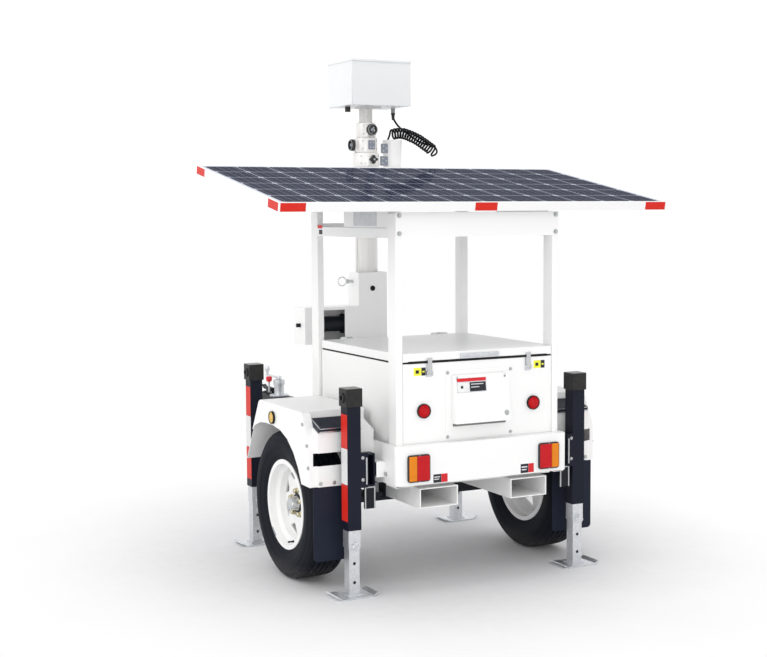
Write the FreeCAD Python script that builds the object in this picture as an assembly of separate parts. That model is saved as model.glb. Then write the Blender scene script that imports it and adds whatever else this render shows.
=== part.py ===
import FreeCAD, Part
import math
import os

os.makedirs("parts", exist_ok=True)
V = FreeCAD.Vector

# ---------------------------------------------------------------------------
# Solar mast trailer: two-wheel chassis, equipment cabinet, fixed solar panel,
# telescopic tilting mast with a head enclosure, four outrigger jacks.
# Millimetres.  +X right seen from the rear, +Y towards the drawbar, +Z up.
# Working coordinates have Y = 0 at the rear faces of the cabinet posts; every
# part is shifted by -Y_ORIGIN on export, so that the origin is on the ground
# under the middle of the overall length.
# ---------------------------------------------------------------------------
Y_ORIGIN = 1235.3

# solar module (72 cells, 6 x 12)
PANEL_L, PANEL_W, PANEL_T = 1956.0, 992.0, 40.0
PANEL_TILT = 10.51            # degrees, front edge higher
PANEL_Y0, PANEL_Z0 = -64.7, 1706.4   # rear edge of the glass side
# posts and cabinet
POST_X, POST_W, POST_D = 416.0, 32.0, 73.0
FRONT_POST_Y = 805.0
CAB_X, CAB_XR, CAB_Y0, CAB_Y1 = 400.0, 382.0, 3.0, 800.0
CAB_NOTCH_Y = 76.0
CAB_Z0, CAB_Z1 = 588.0, 1010.0
SEAL_H = 8.0
LID_Z0, LID_Z1 = 1018.0, 1055.0
SHEET = 3.0
LID_AXIS_Y, LID_AXIS_Z = 808.0, 1056.0
# chassis
RAIL_X0, RAIL_X1, RAIL_Z0, RAIL_Z1 = 381.0, 433.0, 478.0, 588.0
BUMP_X, BUMP_Y, BUMP_Z0, BUMP_Z1 = 438.0, -45.6, 488.0, 660.0
POCKET_X0, POCKET_X1, POCKET_Z0, POCKET_Z1, POCKET_T = 136.0, 326.0, 383.0, 471.0, 5.0
POCKET_Y0, POCKET_Y1 = -46.0, 1150.0
CHASSIS_Y1 = 1257.0
# wheels
AXLE_Y, TYRE_R, TYRE_X0, TYRE_X1 = 525.0, 338.0, 533.0, 738.0
# jacks
JACK_X, JACK_YR, JACK_YF = 584.0, 104.0, 1222.0
JACK_TUBE, JACK_HEAD = 64.0, 78.0
JACK_TOP, JACK_TUBE_Z0, JACK_HEAD_H = 912.0, 292.0, 80.0
ARM, ARM_Z = 50.0, 550.0
RECEIVER = 70.0
# mast
MAST_Y, MAST_PIVOT_Z = 1115.0, 680.0
R1, R2, R3, R4 = 56.0, 49.0, 41.5, 34.0
MAST_WALL = 5.0
Z_C1, Z_C2, Z_C3, Z_C3T = 1894.0, 1965.5, 2041.5, 2116.0
HEAD_Z0, HEAD_Z1 = 2196.0, 2424.0
HEAD_W, HEAD_D = 341.0, 288.0
FUNNEL_X, FUNNEL_Z0, FUNNEL_Z1 = 150.0, 1560.0, 2032.0
HEAD_X = 20.0                 # the head sits off the mast axis on its flange
# tongue jack and coupler
TJ_Y = 2290.0
COUPLER_END = 2535.3

parts = {}


def add(name, shape):
    parts[name] = shape


def box(x0, x1, y0, y1, z0, z1):
    return Part.makeBox(x1 - x0, y1 - y0, z1 - z0, V(x0, y0, z0))


def cylx(x0, x1, y, z, r):
    return Part.makeCylinder(r, x1 - x0, V(x0, y, z), V(1, 0, 0))


def cyly(x, y0, y1, z, r):
    return Part.makeCylinder(r, y1 - y0, V(x, y0, z), V(0, 1, 0))


def cylz(x, y, z0, z1, r):
    return Part.makeCylinder(r, z1 - z0, V(x, y, z0), V(0, 0, 1))


def prism(pts, axis, a, b):
    """Closed polygon extruded along axis from a to b.
    axis x: points are (y, z); axis y: (x, z); axis z: (x, y)."""
    if axis == "x":
        vs = [V(a, p[0], p[1]) for p in pts]
        d = V(b - a, 0, 0)
    elif axis == "y":
        vs = [V(p[0], a, p[1]) for p in pts]
        d = V(0, b - a, 0)
    else:
        vs = [V(p[0], p[1], a) for p in pts]
        d = V(0, 0, b - a)
    vs.append(vs[0])
    return Part.Face(Part.makePolygon(vs)).extrude(d)


def mirror(s):
    return s.mirror(V(0, 0, 0), V(1, 0, 0))


def group(items):
    return Part.makeCompound(items)


def rect_tube(x0, x1, y0, y1, z0, z1, t, axis):
    o = box(x0, x1, y0, y1, z0, z1)
    e = 5.0
    if axis == "x":
        i = box(x0 - e, x1 + e, y0 + t, y1 - t, z0 + t, z1 - t)
    elif axis == "y":
        i = box(x0 + t, x1 - t, y0 - e, y1 + e, z0 + t, z1 - t)
    else:
        i = box(x0 + t, x1 - t, y0 + t, y1 - t, z0 - e, z1 + e)
    return o.cut(i)


def rev_x(profile, cy, cz):
    vs = [V(x, 0, r) for (x, r) in profile]
    vs.append(vs[0])
    f = Part.Face(Part.makePolygon(vs))
    s = f.revolve(V(0, 0, 0), V(1, 0, 0), 360)
    s.translate(V(0, cy, cz))
    return s


def rev_z(profile, cx, cy):
    vs = [V(r, 0, z) for (r, z) in profile]
    vs.append(vs[0])
    f = Part.Face(Part.makePolygon(vs))
    s = f.revolve(V(0, 0, 0), V(0, 0, 1), 360)
    s.translate(V(cx, cy, 0))
    return s


def bolt_y(x, y, z, r=8.0, h=6.0):
    """hex head on a face that looks to -Y, plus washer"""
    pts = [(x + r * math.cos(math.radians(60 * k)), z + r * math.sin(math.radians(60 * k))) for k in range(6)]
    hd = prism(pts, "y", y - h - 1.5, y - 1.5)
    return hd.fuse(cyly(x, y - 1.5, y, z, r * 1.25)).removeSplitter()


def bolt_x(x, y, z, sx, r=8.0, h=6.0):
    """hex head on a face that looks to sx*X"""
    pts = [(y + r * math.cos(math.radians(60 * k)), z + r * math.sin(math.radians(60 * k))) for k in range(6)]
    a, b = (x + 1.5 * sx, x + (h + 1.5) * sx)
    hd = prism(pts, "x", min(a, b), max(a, b))
    w0, w1 = min(x, x + 1.5 * sx), max(x, x + 1.5 * sx)
    return hd.fuse(cylx(w0, w1, y, z, r * 1.25)).removeSplitter()


# --------------------------------------------------------------- chassis ---
def rails():
    out = []
    rear = rect_tube(RAIL_X0, RAIL_X1, -24.0, JACK_YR - RECEIVER / 2, RAIL_Z0, RAIL_Z1, 4.0, "y")
    main = rect_tube(RAIL_X0, RAIL_X1, JACK_YR + RECEIVER / 2, JACK_YF - RECEIVER / 2, RAIL_Z0, RAIL_Z1, 4.0, "y")
    for s in (rear, main):
        out += [s, mirror(s)]
    return group(out)


add("frame_rails", rails())


def crossmembers():
    out = []
    for y0 in (10.0, 560.0, 960.0):
        out.append(rect_tube(-RAIL_X0, RAIL_X0, y0, y0 + 45.0, POCKET_Z1, 560.0, 4.0, "x"))
    # full width outrigger receivers, open at both ends
    for y in (JACK_YR, JACK_YF):
        h = RECEIVER / 2
        out.append(rect_tube(-478.0, 478.0, y - h, y + h, ARM_Z - h, ARM_Z + h, 5.0, "x"))
    return group(out)


add("frame_crossmembers", crossmembers())


def pockets():
    out = []
    for s in (-1, 1):
        x0, x1 = sorted((s * POCKET_X0, s * POCKET_X1))
        out.append(rect_tube(x0, x1, POCKET_Y0, POCKET_Y1, POCKET_Z0, POCKET_Z1, POCKET_T, "y"))
    return group(out)


add("fork_pockets", pockets())


def bumper():
    x, y, t = BUMP_X, BUMP_Y, SHEET
    outer = box(-x, x, y, 209.0, BUMP_Z0, BUMP_Z1)
    ed = [e for e in outer.Edges if abs(e.BoundBox.ZLength - (BUMP_Z1 - BUMP_Z0)) < 0.1 and e.BoundBox.YMax < y + 1]
    outer = outer.makeFillet(26.0, ed)
    inner = box(-x + t, x - t, y + t, 300.0, BUMP_Z0 - 5, BUMP_Z1 - t)
    ed = [e for e in inner.Edges if abs(e.BoundBox.ZLength - (BUMP_Z1 - t - BUMP_Z0 + 5)) < 0.1 and e.BoundBox.YMax < y + t + 1]
    inner = inner.makeFillet(23.0, ed)
    s = outer.cut(inner)
    # top lip ends at the posts and the cabinet walls
    s = s.cut(box(-418.0, 418.0, -0.5, 300.0, BUMP_Z1 - t - 1, BUMP_Z1 + 5))
    # side windows for the outrigger receivers
    h = RECEIVER / 2 + 1.0
    for sx in (-1, 1):
        a, b = sorted((sx * (x - 10), sx * (x + 10)))
        s = s.cut(box(a, b, JACK_YR - h, JACK_YR + h, ARM_Z - h, ARM_Z + h))
    return s


add("bumper_skirt", bumper())


def drawbar():
    out = []
    z0, z1, t = 500.0, 580.0, 5.0
    o = [(-350.0, CHASSIS_Y1), (-280.0, CHASSIS_Y1), (-4.0, 2179.0), (-4.0, 2260.0), (-50.0, 2260.0)]
    i = [(-345.2, CHASSIS_Y1 - 3), (-286.2, CHASSIS_Y1 - 3), (-10.0, 2180.0), (-10.0, 2250.0), (-45.0, 2250.0)]
    s = prism(o, "z", z0, z1).cut(prism(i, "z", z0 + t, z1 - t))
    out = [s, mirror(s)]
    return group(out)


add("drawbar_beams", drawbar())


def coupler():
    top = prism([(-62, 2150), (62, 2150), (46, 2440), (-46, 2440)], "z", 580.0, 588.0)
    side_l = box(-46, -40, 2261.0, 2440.0, 505.0, 580.0)
    side_r = box(40, 46, 2261.0, 2440.0, 505.0, 580.0)
    deck = box(-46, 46, 2261.0, 2462.0, 572.0, 588.0)
    dome = cylz(0, COUPLER_END - 46.0, 478.0, 560.0, 46.0)
    dome = dome.fuse(Part.makeSphere(46.0, V(0, COUPLER_END - 46.0, 553.0)).common(box(-60, 60, 2400, 2600, 553.0, 610.0)))
    neck = box(-30, 30, 2425.0, COUPLER_END - 50, 520.0, 580.0)
    s = top.fuse([side_l, side_r, deck, dome, neck]).removeSplitter()
    # ball seat for a 50 mm ball, open at the bottom
    cy = COUPLER_END - 46.0
    s = s.cut(Part.makeSphere(25.6, V(0, cy, 512.0)))
    s = s.cut(cylz(0, cy, 470.0, 512.0, 25.6))
    # jack hole behind the socket
    s = s.cut(cylz(0, TJ_Y, 560.0, 600.0, 28.5))
    # lever ears
    for a, b in ((-22.0, -14.0), (14.0, 22.0)):
        ear = prism([(2395, 588), (2445, 588), (2436, 622), (2404, 622)], "x", a, b)
        s = s.fuse(ear)
    s = s.fuse(cylx(-22.0, 22.0, 2420.0, 608.0, 5.0)).removeSplitter()
    return s


add("coupler_body", coupler())


def coupler_lever():
    # forked finger lever lying forward over the socket dome
    pts = [(2408, 600), (2416, 620), (2440, 626), (2500, 624), (2528, 634), (2530, 628), (2504, 612), (2436, 606), (2430, 598)]
    s = prism(pts, "x", -13.0, 13.0)
    s = s.cut(cylx(-20, 20, 2420.0, 608.0, 5.05))
    return s


add("coupler_lever", coupler_lever())


def tongue_tube():
    s = rev_z([(24.6, 360.0), (28.3, 360.0), (28.3, 589.0), (56.0, 589.0), (56.0, 597.0), (28.3, 597.0),
               (28.3, 655.0), (33.0, 655.0), (33.0, 684.0), (8.05, 684.0), (8.05, 676.0), (24.6, 676.0)], 0, TJ_Y)
    return s


add("tongue_jack_tube", tongue_tube())


def tongue_ram():
    ram = rev_z([(0.0, 160.0), (24.52, 160.0), (24.52, 556.0), (20.0, 556.0), (20.0, 175.0), (0.0, 175.0)], 0, TJ_Y)
    foot = rev_z([(0.0, 148.0), (75.0, 148.0), (84.0, 158.0), (80.0, 161.0), (73.0, 154.0), (30.0, 154.0), (30.0, 162.0), (0.0, 162.0)], 0, TJ_Y)
    return ram.fuse(foot).removeSplitter()


add("tongue_jack_ram", tongue_ram())


def tongue_crank():
    shaft = cylz(0, TJ_Y, 560.0, 702.0, 8.0)
    hub = cylz(0, TJ_Y, 685.0, 706.0, 15.0)
    arm = box(-11, 11, TJ_Y, TJ_Y + 180.0, 692.0, 699.0).fuse(cylz(0, TJ_Y + 180.0, 692.0, 699.0, 13.0))
    stem = cylz(0, TJ_Y + 180.0, 699.0, 712.0, 7.0)
    grip = rev_z([(0, 708.0), (9.0, 708.0), (10.0, 716.0), (15.0, 724.0), (16.5, 735.0), (13.0, 746.0), (6.0, 751.0), (0, 752.0)], 0, TJ_Y + 180.0)
    return shaft.fuse([hub, arm, stem, grip]).removeSplitter()


add("tongue_jack_crank", tongue_crank())

# ------------------------------------------------------------ running gear ---


def axle():
    s = box(-500, 500, AXLE_Y - 25, AXLE_Y + 25, TYRE_R - 25, TYRE_R + 25)
    s = s.fuse([cylx(500, 638, AXLE_Y, TYRE_R, 20.0), cylx(-638, -500, AXLE_Y, TYRE_R, 20.0)]).removeSplitter()
    return s


add("axle_beam", axle())


def springs():
    out = []
    pack = prism([(176, 408), (330, 384), (470, 363), (580, 363), (720, 384), (874, 408), (874, 424), (720, 404),
                  (580, 395), (470, 395), (330, 404), (176, 424)], "x", 390.0, 446.0)
    for y in (195.0, 855.0):
        pack = pack.cut(cylx(380, 460, y, 415.0, 6.0))
        h = box(384, 452, y - 32, y + 32, 474.0, 478.0)
        h = h.fuse([box(384, 389, y - 32, y + 32, 396.0, 474.0), box(447, 452, y - 32, y + 32, 396.0, 474.0),
                    cylx(389, 447, y, 415.0, 6.0)]).removeSplitter()
        out += [h, mirror(h)]
    out += [pack, mirror(pack)]
    return group(out)


add("leaf_springs", springs())

TYRE_PROFILE = [(563, 190.5), (556, 215), (541, 252), (533, 278), (539, 312), (552, 331), (572, 338), (699, 338),
                (719, 331), (732, 312), (738, 278), (730, 252), (715, 215), (708, 190.5), (688, 190.5), (694, 215),
                (714, 256), (722, 278), (717, 304), (700, 320), (571, 320), (554, 304), (549, 278), (557, 256),
                (577, 215), (583, 190.5)]
RIM_PROFILE = [(552, 206), (558, 206), (558, 190.5), (586, 190.5), (600, 170), (671, 170), (685, 190.5),
               (713, 190.5), (713, 206), (719, 206), (719, 186), (688, 186), (674, 165.5), (597, 165.5),
               (583, 186), (552, 186)]
DISC_PROFILE = [(630, 167.5), (645, 167.5), (650, 150), (653, 100), (655, 90), (655, 33), (649, 33), (649, 90), (647, 98),
                (643, 148), (638, 160), (630, 163.5)]


def wheel():
    tyre = rev_x(TYRE_PROFILE, AXLE_Y, TYRE_R)
    rim = rev_x(RIM_PROFILE, AXLE_Y, TYRE_R).fuse(rev_x(DISC_PROFILE, AXLE_Y, TYRE_R)).removeSplitter()
    for k in range(8):
        a0 = math.radians(45 * k + 22.5)
        pts = []
        for r, d in ((112, -4), (112, 4), (154, 15), (154, -15)):
            a = a0 + math.radians(d)
            pts.append((AXLE_Y + r * math.cos(a), TYRE_R + r * math.sin(a)))
        rim = rim.cut(prism(pts, "x", 610.0, 680.0))
    for k in range(5):
        a = math.radians(90 + 72 * k)
        rim = rim.cut(cylx(640, 670, AXLE_Y + 57.15 * math.cos(a), TYRE_R + 57.15 * math.sin(a), 6.6))
    hub = rev_x([(590, 20.05), (640, 20.05), (640, 0), (696, 0), (696, 22), (690, 27), (655, 31), (649, 31), (649, 70),
                 (640, 70), (640, 46), (590, 42)], AXLE_Y, TYRE_R)
    for k in range(5):
        a = math.radians(90 + 72 * k)
        cy_, cz_ = AXLE_Y + 57.15 * math.cos(a), TYRE_R + 57.15 * math.sin(a)
        hub = hub.fuse(cylx(648, 672, cy_, cz_, 6.5))
        pts = [(cy_ + 11 * math.cos(math.radians(60 * q)), cz_ + 11 * math.sin(math.radians(60 * q))) for q in range(6)]
        hub = hub.fuse(prism(pts, "x", 655.2, 667.0))
    hub = hub.removeSplitter()
    return tyre, rim, hub


tyre, rim, hub = wheel()
add("tyre_right", tyre)
add("rim_right", group([rim, hub]))
add("tyre_left", mirror(tyre))
add("rim_left", group([mirror(rim), mirror(hub)]))

# --------------------------------------------------------------- fenders ---
ARCH = [(934, 491), (905, 570), (866, 628), (812, 668), (750, 689), (690, 696), (600, 696), (510, 686), (430, 656),
        (360, 604), (308, 540), (267, 462)]
BOX_Y, BOX_X = 176.0, 709.0      # rear face and outer face of the step box


def fender():
    t, xo, xi = 3.0, 745.0, 438.2
    # outline behind the outer skirt, and outline over the step box
    a_out = [(185, 475), (185, 640), (252, 777), (262, 790), (276, 796), (745, 796), (763, 786), (934, 491)]
    a_in = [(188, 400), (188, 639.3), (254.8, 775.8), (264.5, 788.2), (276.6, 793), (744.2, 793), (760.9, 783.8), (983.3, 400)]
    b_out = [(BOX_Y, 475), (BOX_Y, 712), (273, 746), (273, 796), (745, 796), (763, 786), (934, 491)]
    b_in = [(BOX_Y + t, 400), (BOX_Y + t, 709.9), (276, 743.9), (276, 793), (744.2, 793), (760.9, 783.8), (983.3, 400)]
    s = prism(a_out, "x", BOX_X - t, xo).fuse(prism(b_out, "x", xi, BOX_X))
    cav = prism(a_in, "x", BOX_X - 2 * t, xo - t).fuse(prism(b_in, "x", xi + t, BOX_X - t))
    s = s.cut(cav)
    arch = [(934, 400)] + ARCH[0:1] + ARCH[1:] + [(267, 400)]
    s = s.cut(prism(arch, "x", xo - t - 2, xo + 5))
    # hand slot that wraps round the corner, and a notch over the spring hanger
    s = s.cut(box(500.0, 728.0, 150.0, 192.0, 567.0, 624.0))
    s = s.cut(box(430.0, 458.0, 150.0, 240.0, 460.0, 500.0))
    s = s.cut(box(430.0, 458.0, 810.0, 1000.0, 460.0, 500.0))
    if not s.isValid():
        print("invalid fender")
    return s


f = fender()
add("fenders", group([f, mirror(f)]))


def step_pad():
    s = prism([(176.5, 713.4), (270, 746.2), (266, 767.0), (169.5, 733.0), (169.5, 714.0)], "x", 520.0, 705.5)
    return s


add("step_pads", group([step_pad(), mirror(step_pad())]))


def mudflap():
    s = box(512.0, 731.0, BOX_Y + 3.2, BOX_Y + 7.2, 145.0, 472.0)
    ed = [e for e in s.Edges if abs(e.BoundBox.YLength - 4.0) < 0.1 and e.BoundBox.ZMax < 146]
    s = s.makeFillet(18.0, ed)
    return s.fuse(box(512.0, 700.0, BOX_Y + 3.2, BOX_Y + 7.2, 470.0, 560.0)).removeSplitter()


add("mudflaps", group([mudflap(), mirror(mudflap())]))


def tail_light():
    s = box(280.0, 389.0, BUMP_Y - 17.0, BUMP_Y, 503.0, 622.0)
    ed = [e for e in s.Edges if abs(e.BoundBox.YLength - 17.0) < 0.1]
    s = s.makeFillet(12.0, ed)
    return s


add("tail_lights", group([tail_light(), mirror(tail_light())]))


def markers():
    out = []
    for sx in (-1, 1):
        a, b = sorted((sx * 745.0, sx * 757.0))
        out.append(cylx(a, b, 591.0, 732.0, 29.0))
        out.append(cyly(sx * 282.0, -10.0, 3.0, 802.0, 32.0))
    return group(out)


add("marker_lamps", markers())

# --------------------------------------------------------------- cabinet ---


def plan(o=0.0):
    return [(-CAB_X + o, CAB_NOTCH_Y + o), (-CAB_XR + o, CAB_NOTCH_Y + o), (-CAB_XR + o, CAB_Y0 + o),
            (CAB_XR - o, CAB_Y0 + o), (CAB_XR - o, CAB_NOTCH_Y + o), (CAB_X - o, CAB_NOTCH_Y + o),
            (CAB_X - o, CAB_Y1 - o), (-CAB_X + o, CAB_Y1 - o)]


def cabinet():
    s = prism(plan(), "z", CAB_Z0, CAB_Z1)
    s = s.cut(prism(plan(SHEET), "z", CAB_Z0 + SHEET, CAB_Z1 - SHEET))
    s = s.cut(prism(plan(22.0), "z", CAB_Z1 - 10, CAB_Z1 + 10))
    # service opening behind the rear plate
    s = s.cut(box(-120, 120, -5, 20, 750, 930))
    return s


add("cabinet_body", cabinet())
add("lid_seal", prism(plan(4.0), "z", CAB_Z1, LID_Z0).cut(prism(plan(18.0), "z", CAB_Z1 - 1, LID_Z0 + 1)))


def lid():
    s = prism(plan(), "z", LID_Z0, LID_Z1)
    s = s.cut(prism(plan(SHEET), "z", LID_Z0 - 5, LID_Z1 - SHEET))
    s = s.fuse(prism(plan(2.0), "z", LID_Z0, LID_Z0 + 3).cut(prism(plan(20.0), "z", LID_Z0 - 1, LID_Z0 + 5)))
    for sx in (-1, 1):
        for a in (-43.0, 17.0):
            x0 = sx * 250.0 + a
            k = cylx(x0, x0 + 26.0, LID_AXIS_Y, LID_AXIS_Z, 7.0)
            tab = box(x0, x0 + 26.0, 794.0, LID_AXIS_Y, LID_AXIS_Z - 4, LID_AXIS_Z + 1)
            s = s.fuse([k, tab])
    s = s.cut(cylx(-300, 300, LID_AXIS_Y, LID_AXIS_Z, 4.05))
    # keepers for the two toggle latches
    for sx in (-1, 1):
        s = s.fuse(box(sx * 254.0 - 9, sx * 254.0 + 9, -5.0, CAB_Y0, 1028.0, 1033.0))
    return s.removeSplitter()


add("cabinet_lid", lid())


def lid_handle():
    s = box(-98.0, 98.0, -9.0, CAB_Y0, 1022.0, 1044.0)
    s = s.cut(box(-88.0, 88.0, -20.0, -3.0, 1027.0, 1036.0))
    return s


add("lid_handle", lid_handle())


def hardware():
    out = []
    for sx in (-1, 1):
        xc = sx * 250.0
        leaf = box(xc - 30, xc + 30, CAB_Y1, CAB_Y1 + 3, 975.0, 1049.0)
        web = box(xc - 14, xc + 14, CAB_Y1 + 0.5, LID_AXIS_Y + 3, 1046.0, LID_AXIS_Z)
        kn = cylx(xc - 15, xc + 15, LID_AXIS_Y, LID_AXIS_Z, 7.0)
        pin = cylx(xc - 46, xc + 46, LID_AXIS_Y, LID_AXIS_Z, 4.0)
        out.append(leaf.fuse([web, kn, pin]).removeSplitter())
    for sx in (-1, 1):
        xc = sx * 254.0
        base = box(xc - 15, xc + 15, 0.0, CAB_Y0, 950.0, 1006.0)
        for a, b in ((-15.0, -11.5), (11.5, 15.0)):
            base = base.fuse(prism([(0, 952), (0, 978), (-8, 974), (-10, 966), (-8, 956)], "x", xc + a, xc + b))
        base = base.fuse(cylx(xc - 15, xc + 15, -5.0, 965.0, 2.5)).removeSplitter()
        out.append(base)
    return group(out)


add("cabinet_hardware", hardware())


def latch(xc):
    s = prism([(-8.2, 965), (-8.2, 1034), (-5.2, 1034), (-5.2, 1008), (-1.8, 1004), (-1.8, 965)], "x", xc - 10.8, xc + 10.8)
    s = s.fuse(cylx(xc - 10.8, xc + 10.8, -5.0, 965.0, 4.4))
    s = s.cut(cylx(xc - 20, xc + 20, -5.0, 965.0, 2.55))
    return s


add("latch_lever_left", latch(-254.0))
add("latch_lever_right", latch(254.0))


def access_plate():
    s = box(-172.0, 172.0, 0.0, CAB_Y0, 668.0, 972.0)
    s = s.cut(box(-60.0, 60.0, -5, 5, 770, 900))
    # inlet box with two sockets behind the hood
    inlet = box(-66.0, 66.0, -14.0, 0.0, 764.0, 906.0).cut(box(-52.0, 52.0, -20.0, 5.0, 778.0, 892.0))
    plug = box(-55.0, 55.0, 0.0, 40.0, 775.0, 895.0)
    s = s.fuse([inlet, plug])
    for x in (-26.0, 26.0):
        s = s.cut(cyly(x, -5.0, 30.0, 835.0, 18.0))
        s = s.fuse(cyly(x, 28.0, 32.0, 835.0, 18.0))
        for dx in (-6.0, 6.0):
            s = s.fuse(box(x + dx - 1.5, x + dx + 1.5, 8.0, 30.0, 829.0, 841.0))
    for a, b in ((-126.0, -120.0), (120.0, 126.0)):
        s = s.fuse(prism([(0.5, 936), (0.5, 954), (-10, 954), (-13, 947), (-10, 936)], "x", a, b))
    s = s.fuse([cylx(-120.5, -109.0, -7.0, 946.0, 2.5), cylx(109.0, 120.5, -7.0, 946.0, 2.5)]).removeSplitter()
    return s


add("rear_access_plate", access_plate())


def hood():
    # sloping rain hood, open below
    o = [(-1.0, 945), (-2.5, 950), (-12.0, 950), (-30.0, 800), (-42.0, 742), (-42.0, 738), (-1.0, 738)]
    i = [(5.0, 947), (-9.5, 947), (-27.0, 800), (-39.0, 742), (-39.0, 730), (5.0, 730)]
    s = prism(o, "x", -141.0, 141.0).cut(prism(i, "x", -138.5, 138.5))
    for a, b in ((-128.0, -118.0), (118.0, 128.0)):
        s = s.cut(box(a, b, -60.0, 5.0, 930.0, 960.0))
    for a, b in ((-117.0, -111.0), (111.0, 117.0)):
        s = s.fuse(prism([(-3.2, 949.5), (-11.0, 949.5), (-12.0, 940), (-3.2, 940)], "x", a, b))
    s = s.cut(cylx(-118.0, -108.0, -7.0, 946.0, 2.55)).cut(cylx(108.0, 118.0, -7.0, 946.0, 2.55))
    return s


add("hatch_hood", hood())


def batteries():
    out = []
    for sx in (-1, 1):
        for y in (110.0, 300.0):
            x0, x1 = sorted((sx * 20.0, sx * 350.0))
            b = box(x0, x1, y, y + 172.0, CAB_Z0 + SHEET, CAB_Z0 + SHEET + 205.0)
            xm = (x0 + x1) / 2
            for dx in (-125.0, 125.0):
                b = b.fuse(cylz(xm + dx, y + 140.0, CAB_Z0 + SHEET + 205.0, CAB_Z0 + SHEET + 220.0, 9.0))
            out.append(b)
    return group(out)


add("battery_bank", batteries())


def controller():
    plate = box(-180.0, 180.0, 792.0, 797.0, 680.0, 960.0)
    body = box(-90.0, 70.0, 727.0, 792.0, 760.0, 945.0)
    for k in range(9):
        x = -84.0 + 18.0 * k
        body = body.cut(box(x, x + 9.0, 720.0, 742.0, 765.0, 940.0))
    term = box(95.0, 165.0, 752.0, 792.0, 700.0, 930.0)
    return plate.fuse([body, term]).removeSplitter()


add("charge_controller", controller())

# ------------------------------------------------------- posts, upper frame ---
SLOPE = math.tan(math.radians(PANEL_TILT))


def under(y):
    """height of the module's underside at y"""
    c, s = math.cos(math.radians(PANEL_TILT)), math.sin(math.radians(PANEL_TILT))
    y0, z0 = PANEL_Y0 + PANEL_T * s, PANEL_Z0 - PANEL_T * c
    return z0 + (y - y0) * SLOPE


BAR_T = 10.2


def posts():
    out = []
    lim = prism([(-200, under(-200) - BAR_T), (1200, under(1200) - BAR_T), (1200, 2600), (-200, 2600)], "x", -600, 600)
    for y in (0.0, FRONT_POST_Y):
        s = rect_tube(POST_X - POST_W, POST_X, y, y + POST_D, RAIL_Z1, 1900.0, 3.0, "z")
        if y > 1:
            s = s.cut(lim)
        else:
            s = s.cut(box(0, 600, -10, 100, 1660.0, 2000))
        out += [s, mirror(s)]
    return group(out)


add("cabinet_posts", posts())


def upper():
    out = []
    # rear channel lapped on the rear posts
    web = box(-POST_X, POST_X, -4.0, 0.0, 1557.0, 1664.0)
    tf = box(-POST_X, POST_X, -4.0, 45.0, 1660.0, 1664.0)
    bf = box(-(POST_X - POST_W - 1), POST_X - POST_W - 1, -4.0, 45.0, 1557.0, 1561.0)
    out.append(web.fuse([tf, bf]).removeSplitter())
    # side rails between the posts
    r = box(404.0, POST_X, POST_D, FRONT_POST_Y, 1553.0, 1597.0)
    out += [r, mirror(r)]
    # front beam with the mast yoke
    x = POST_X - POST_W
    out.append(rect_tube(-x, x, 812.0, 872.0, 1553.0, 1613.0, 4.0, "x"))
    yoke = box(-92.0, 92.0, 872.0, 878.0, 1556.0, 1610.0)
    for sx in (-1, 1):
        a, b = sorted((sx * 62.0, sx * 68.0))
        out.append(box(a, b, 878.0, 1125.0, 1556.0, 1610.0))
    out += [yoke, box(-62.0, 62.0, 1050.0, 1056.0, 1556.0, 1610.0)]
    # sloping bars under the module, rear to front post
    y0, y1 = -3.0, FRONT_POST_Y + POST_D
    bar = prism([(y0, under(y0)), (y1, under(y1)), (y1, under(y1) - BAR_T), (y0, under(y0) - BAR_T)], "x", POST_X - POST_W, POST_X)
    # side gussets with a blank panel opening
    g = prism([(POST_D, 1597.0), (520.0, 1597.0), (520.0, under(520.0) - BAR_T), (POST_D, under(POST_D) - BAR_T)], "x", 406.0, 412.0)
    out += [bar, mirror(bar), g, mirror(g)]
    return group(out)


add("upper_frame", upper())


def place_panel(s):
    s.rotate(V(0, 0, 0), V(1, 0, 0), PANEL_TILT)
    s.translate(V(0, PANEL_Y0, PANEL_Z0))
    return s


def module_frame():
    L, W, T = PANEL_L, PANEL_W, PANEL_T
    s = box(-L / 2, L / 2, 0, W, -T, 0).cut(box(-L / 2 + 11, L / 2 - 11, 11, W - 11, -T - 5, 5))
    lip = box(-L / 2 + 1, L / 2 - 1, 1, W - 1, -T, -T + 3).cut(box(-L / 2 + 33, L / 2 - 33, 33, W - 33, -T - 5, 5))
    return place_panel(s.fuse(lip).removeSplitter())


add("panel_frame", module_frame())


def laminate():
    L, W = PANEL_L, PANEL_W
    s = box(-L / 2 + 11, L / 2 - 11, 11, W - 11, -8.0, -2.0)
    jb = box(-75, 75, W - 160, W - 50, -30.0, -8.0)
    return place_panel(group([s, jb]))


add("panel_laminate", laminate())

# ------------------------------------------------------------------- mast ---


def mast_housing():
    x, t = 80.0, 5.0
    s = box(-x, x, MAST_Y - 68, MAST_Y - 68 + t, RAIL_Z1, 1362.0)
    for sx in (-1, 1):
        a, b = sorted((sx * x, sx * (x - t)))
        side = prism([(MAST_Y - 68, RAIL_Z1), (MAST_Y + 55, RAIL_Z1), (MAST_Y + 55, 1330.0), (MAST_Y + 30, 1362.0), (MAST_Y - 68, 1362.0)], "x", a, b)
        s = s.fuse(side)
    base = box(-RAIL_X0 - 20, RAIL_X0 + 20, MAST_Y - 75, MAST_Y + 74, RAIL_Z1, RAIL_Z1 + 8)
    s = s.fuse(base)
    s = s.cut(cylx(-90, -70, MAST_Y, MAST_LOCK_Z, 8.05))
    s = s.cut(cylx(-90, -70, MAST_Y - 8, 1104.0, 10.05))
    # pivot pin across the housing
    s = s.fuse(cylx(-92.0, 92.0, MAST_Y, MAST_PIVOT_Z, 12.0))
    return s.removeSplitter()


MAST_LOCK_Z = 1316.0
add("mast_housing", mast_housing())


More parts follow.
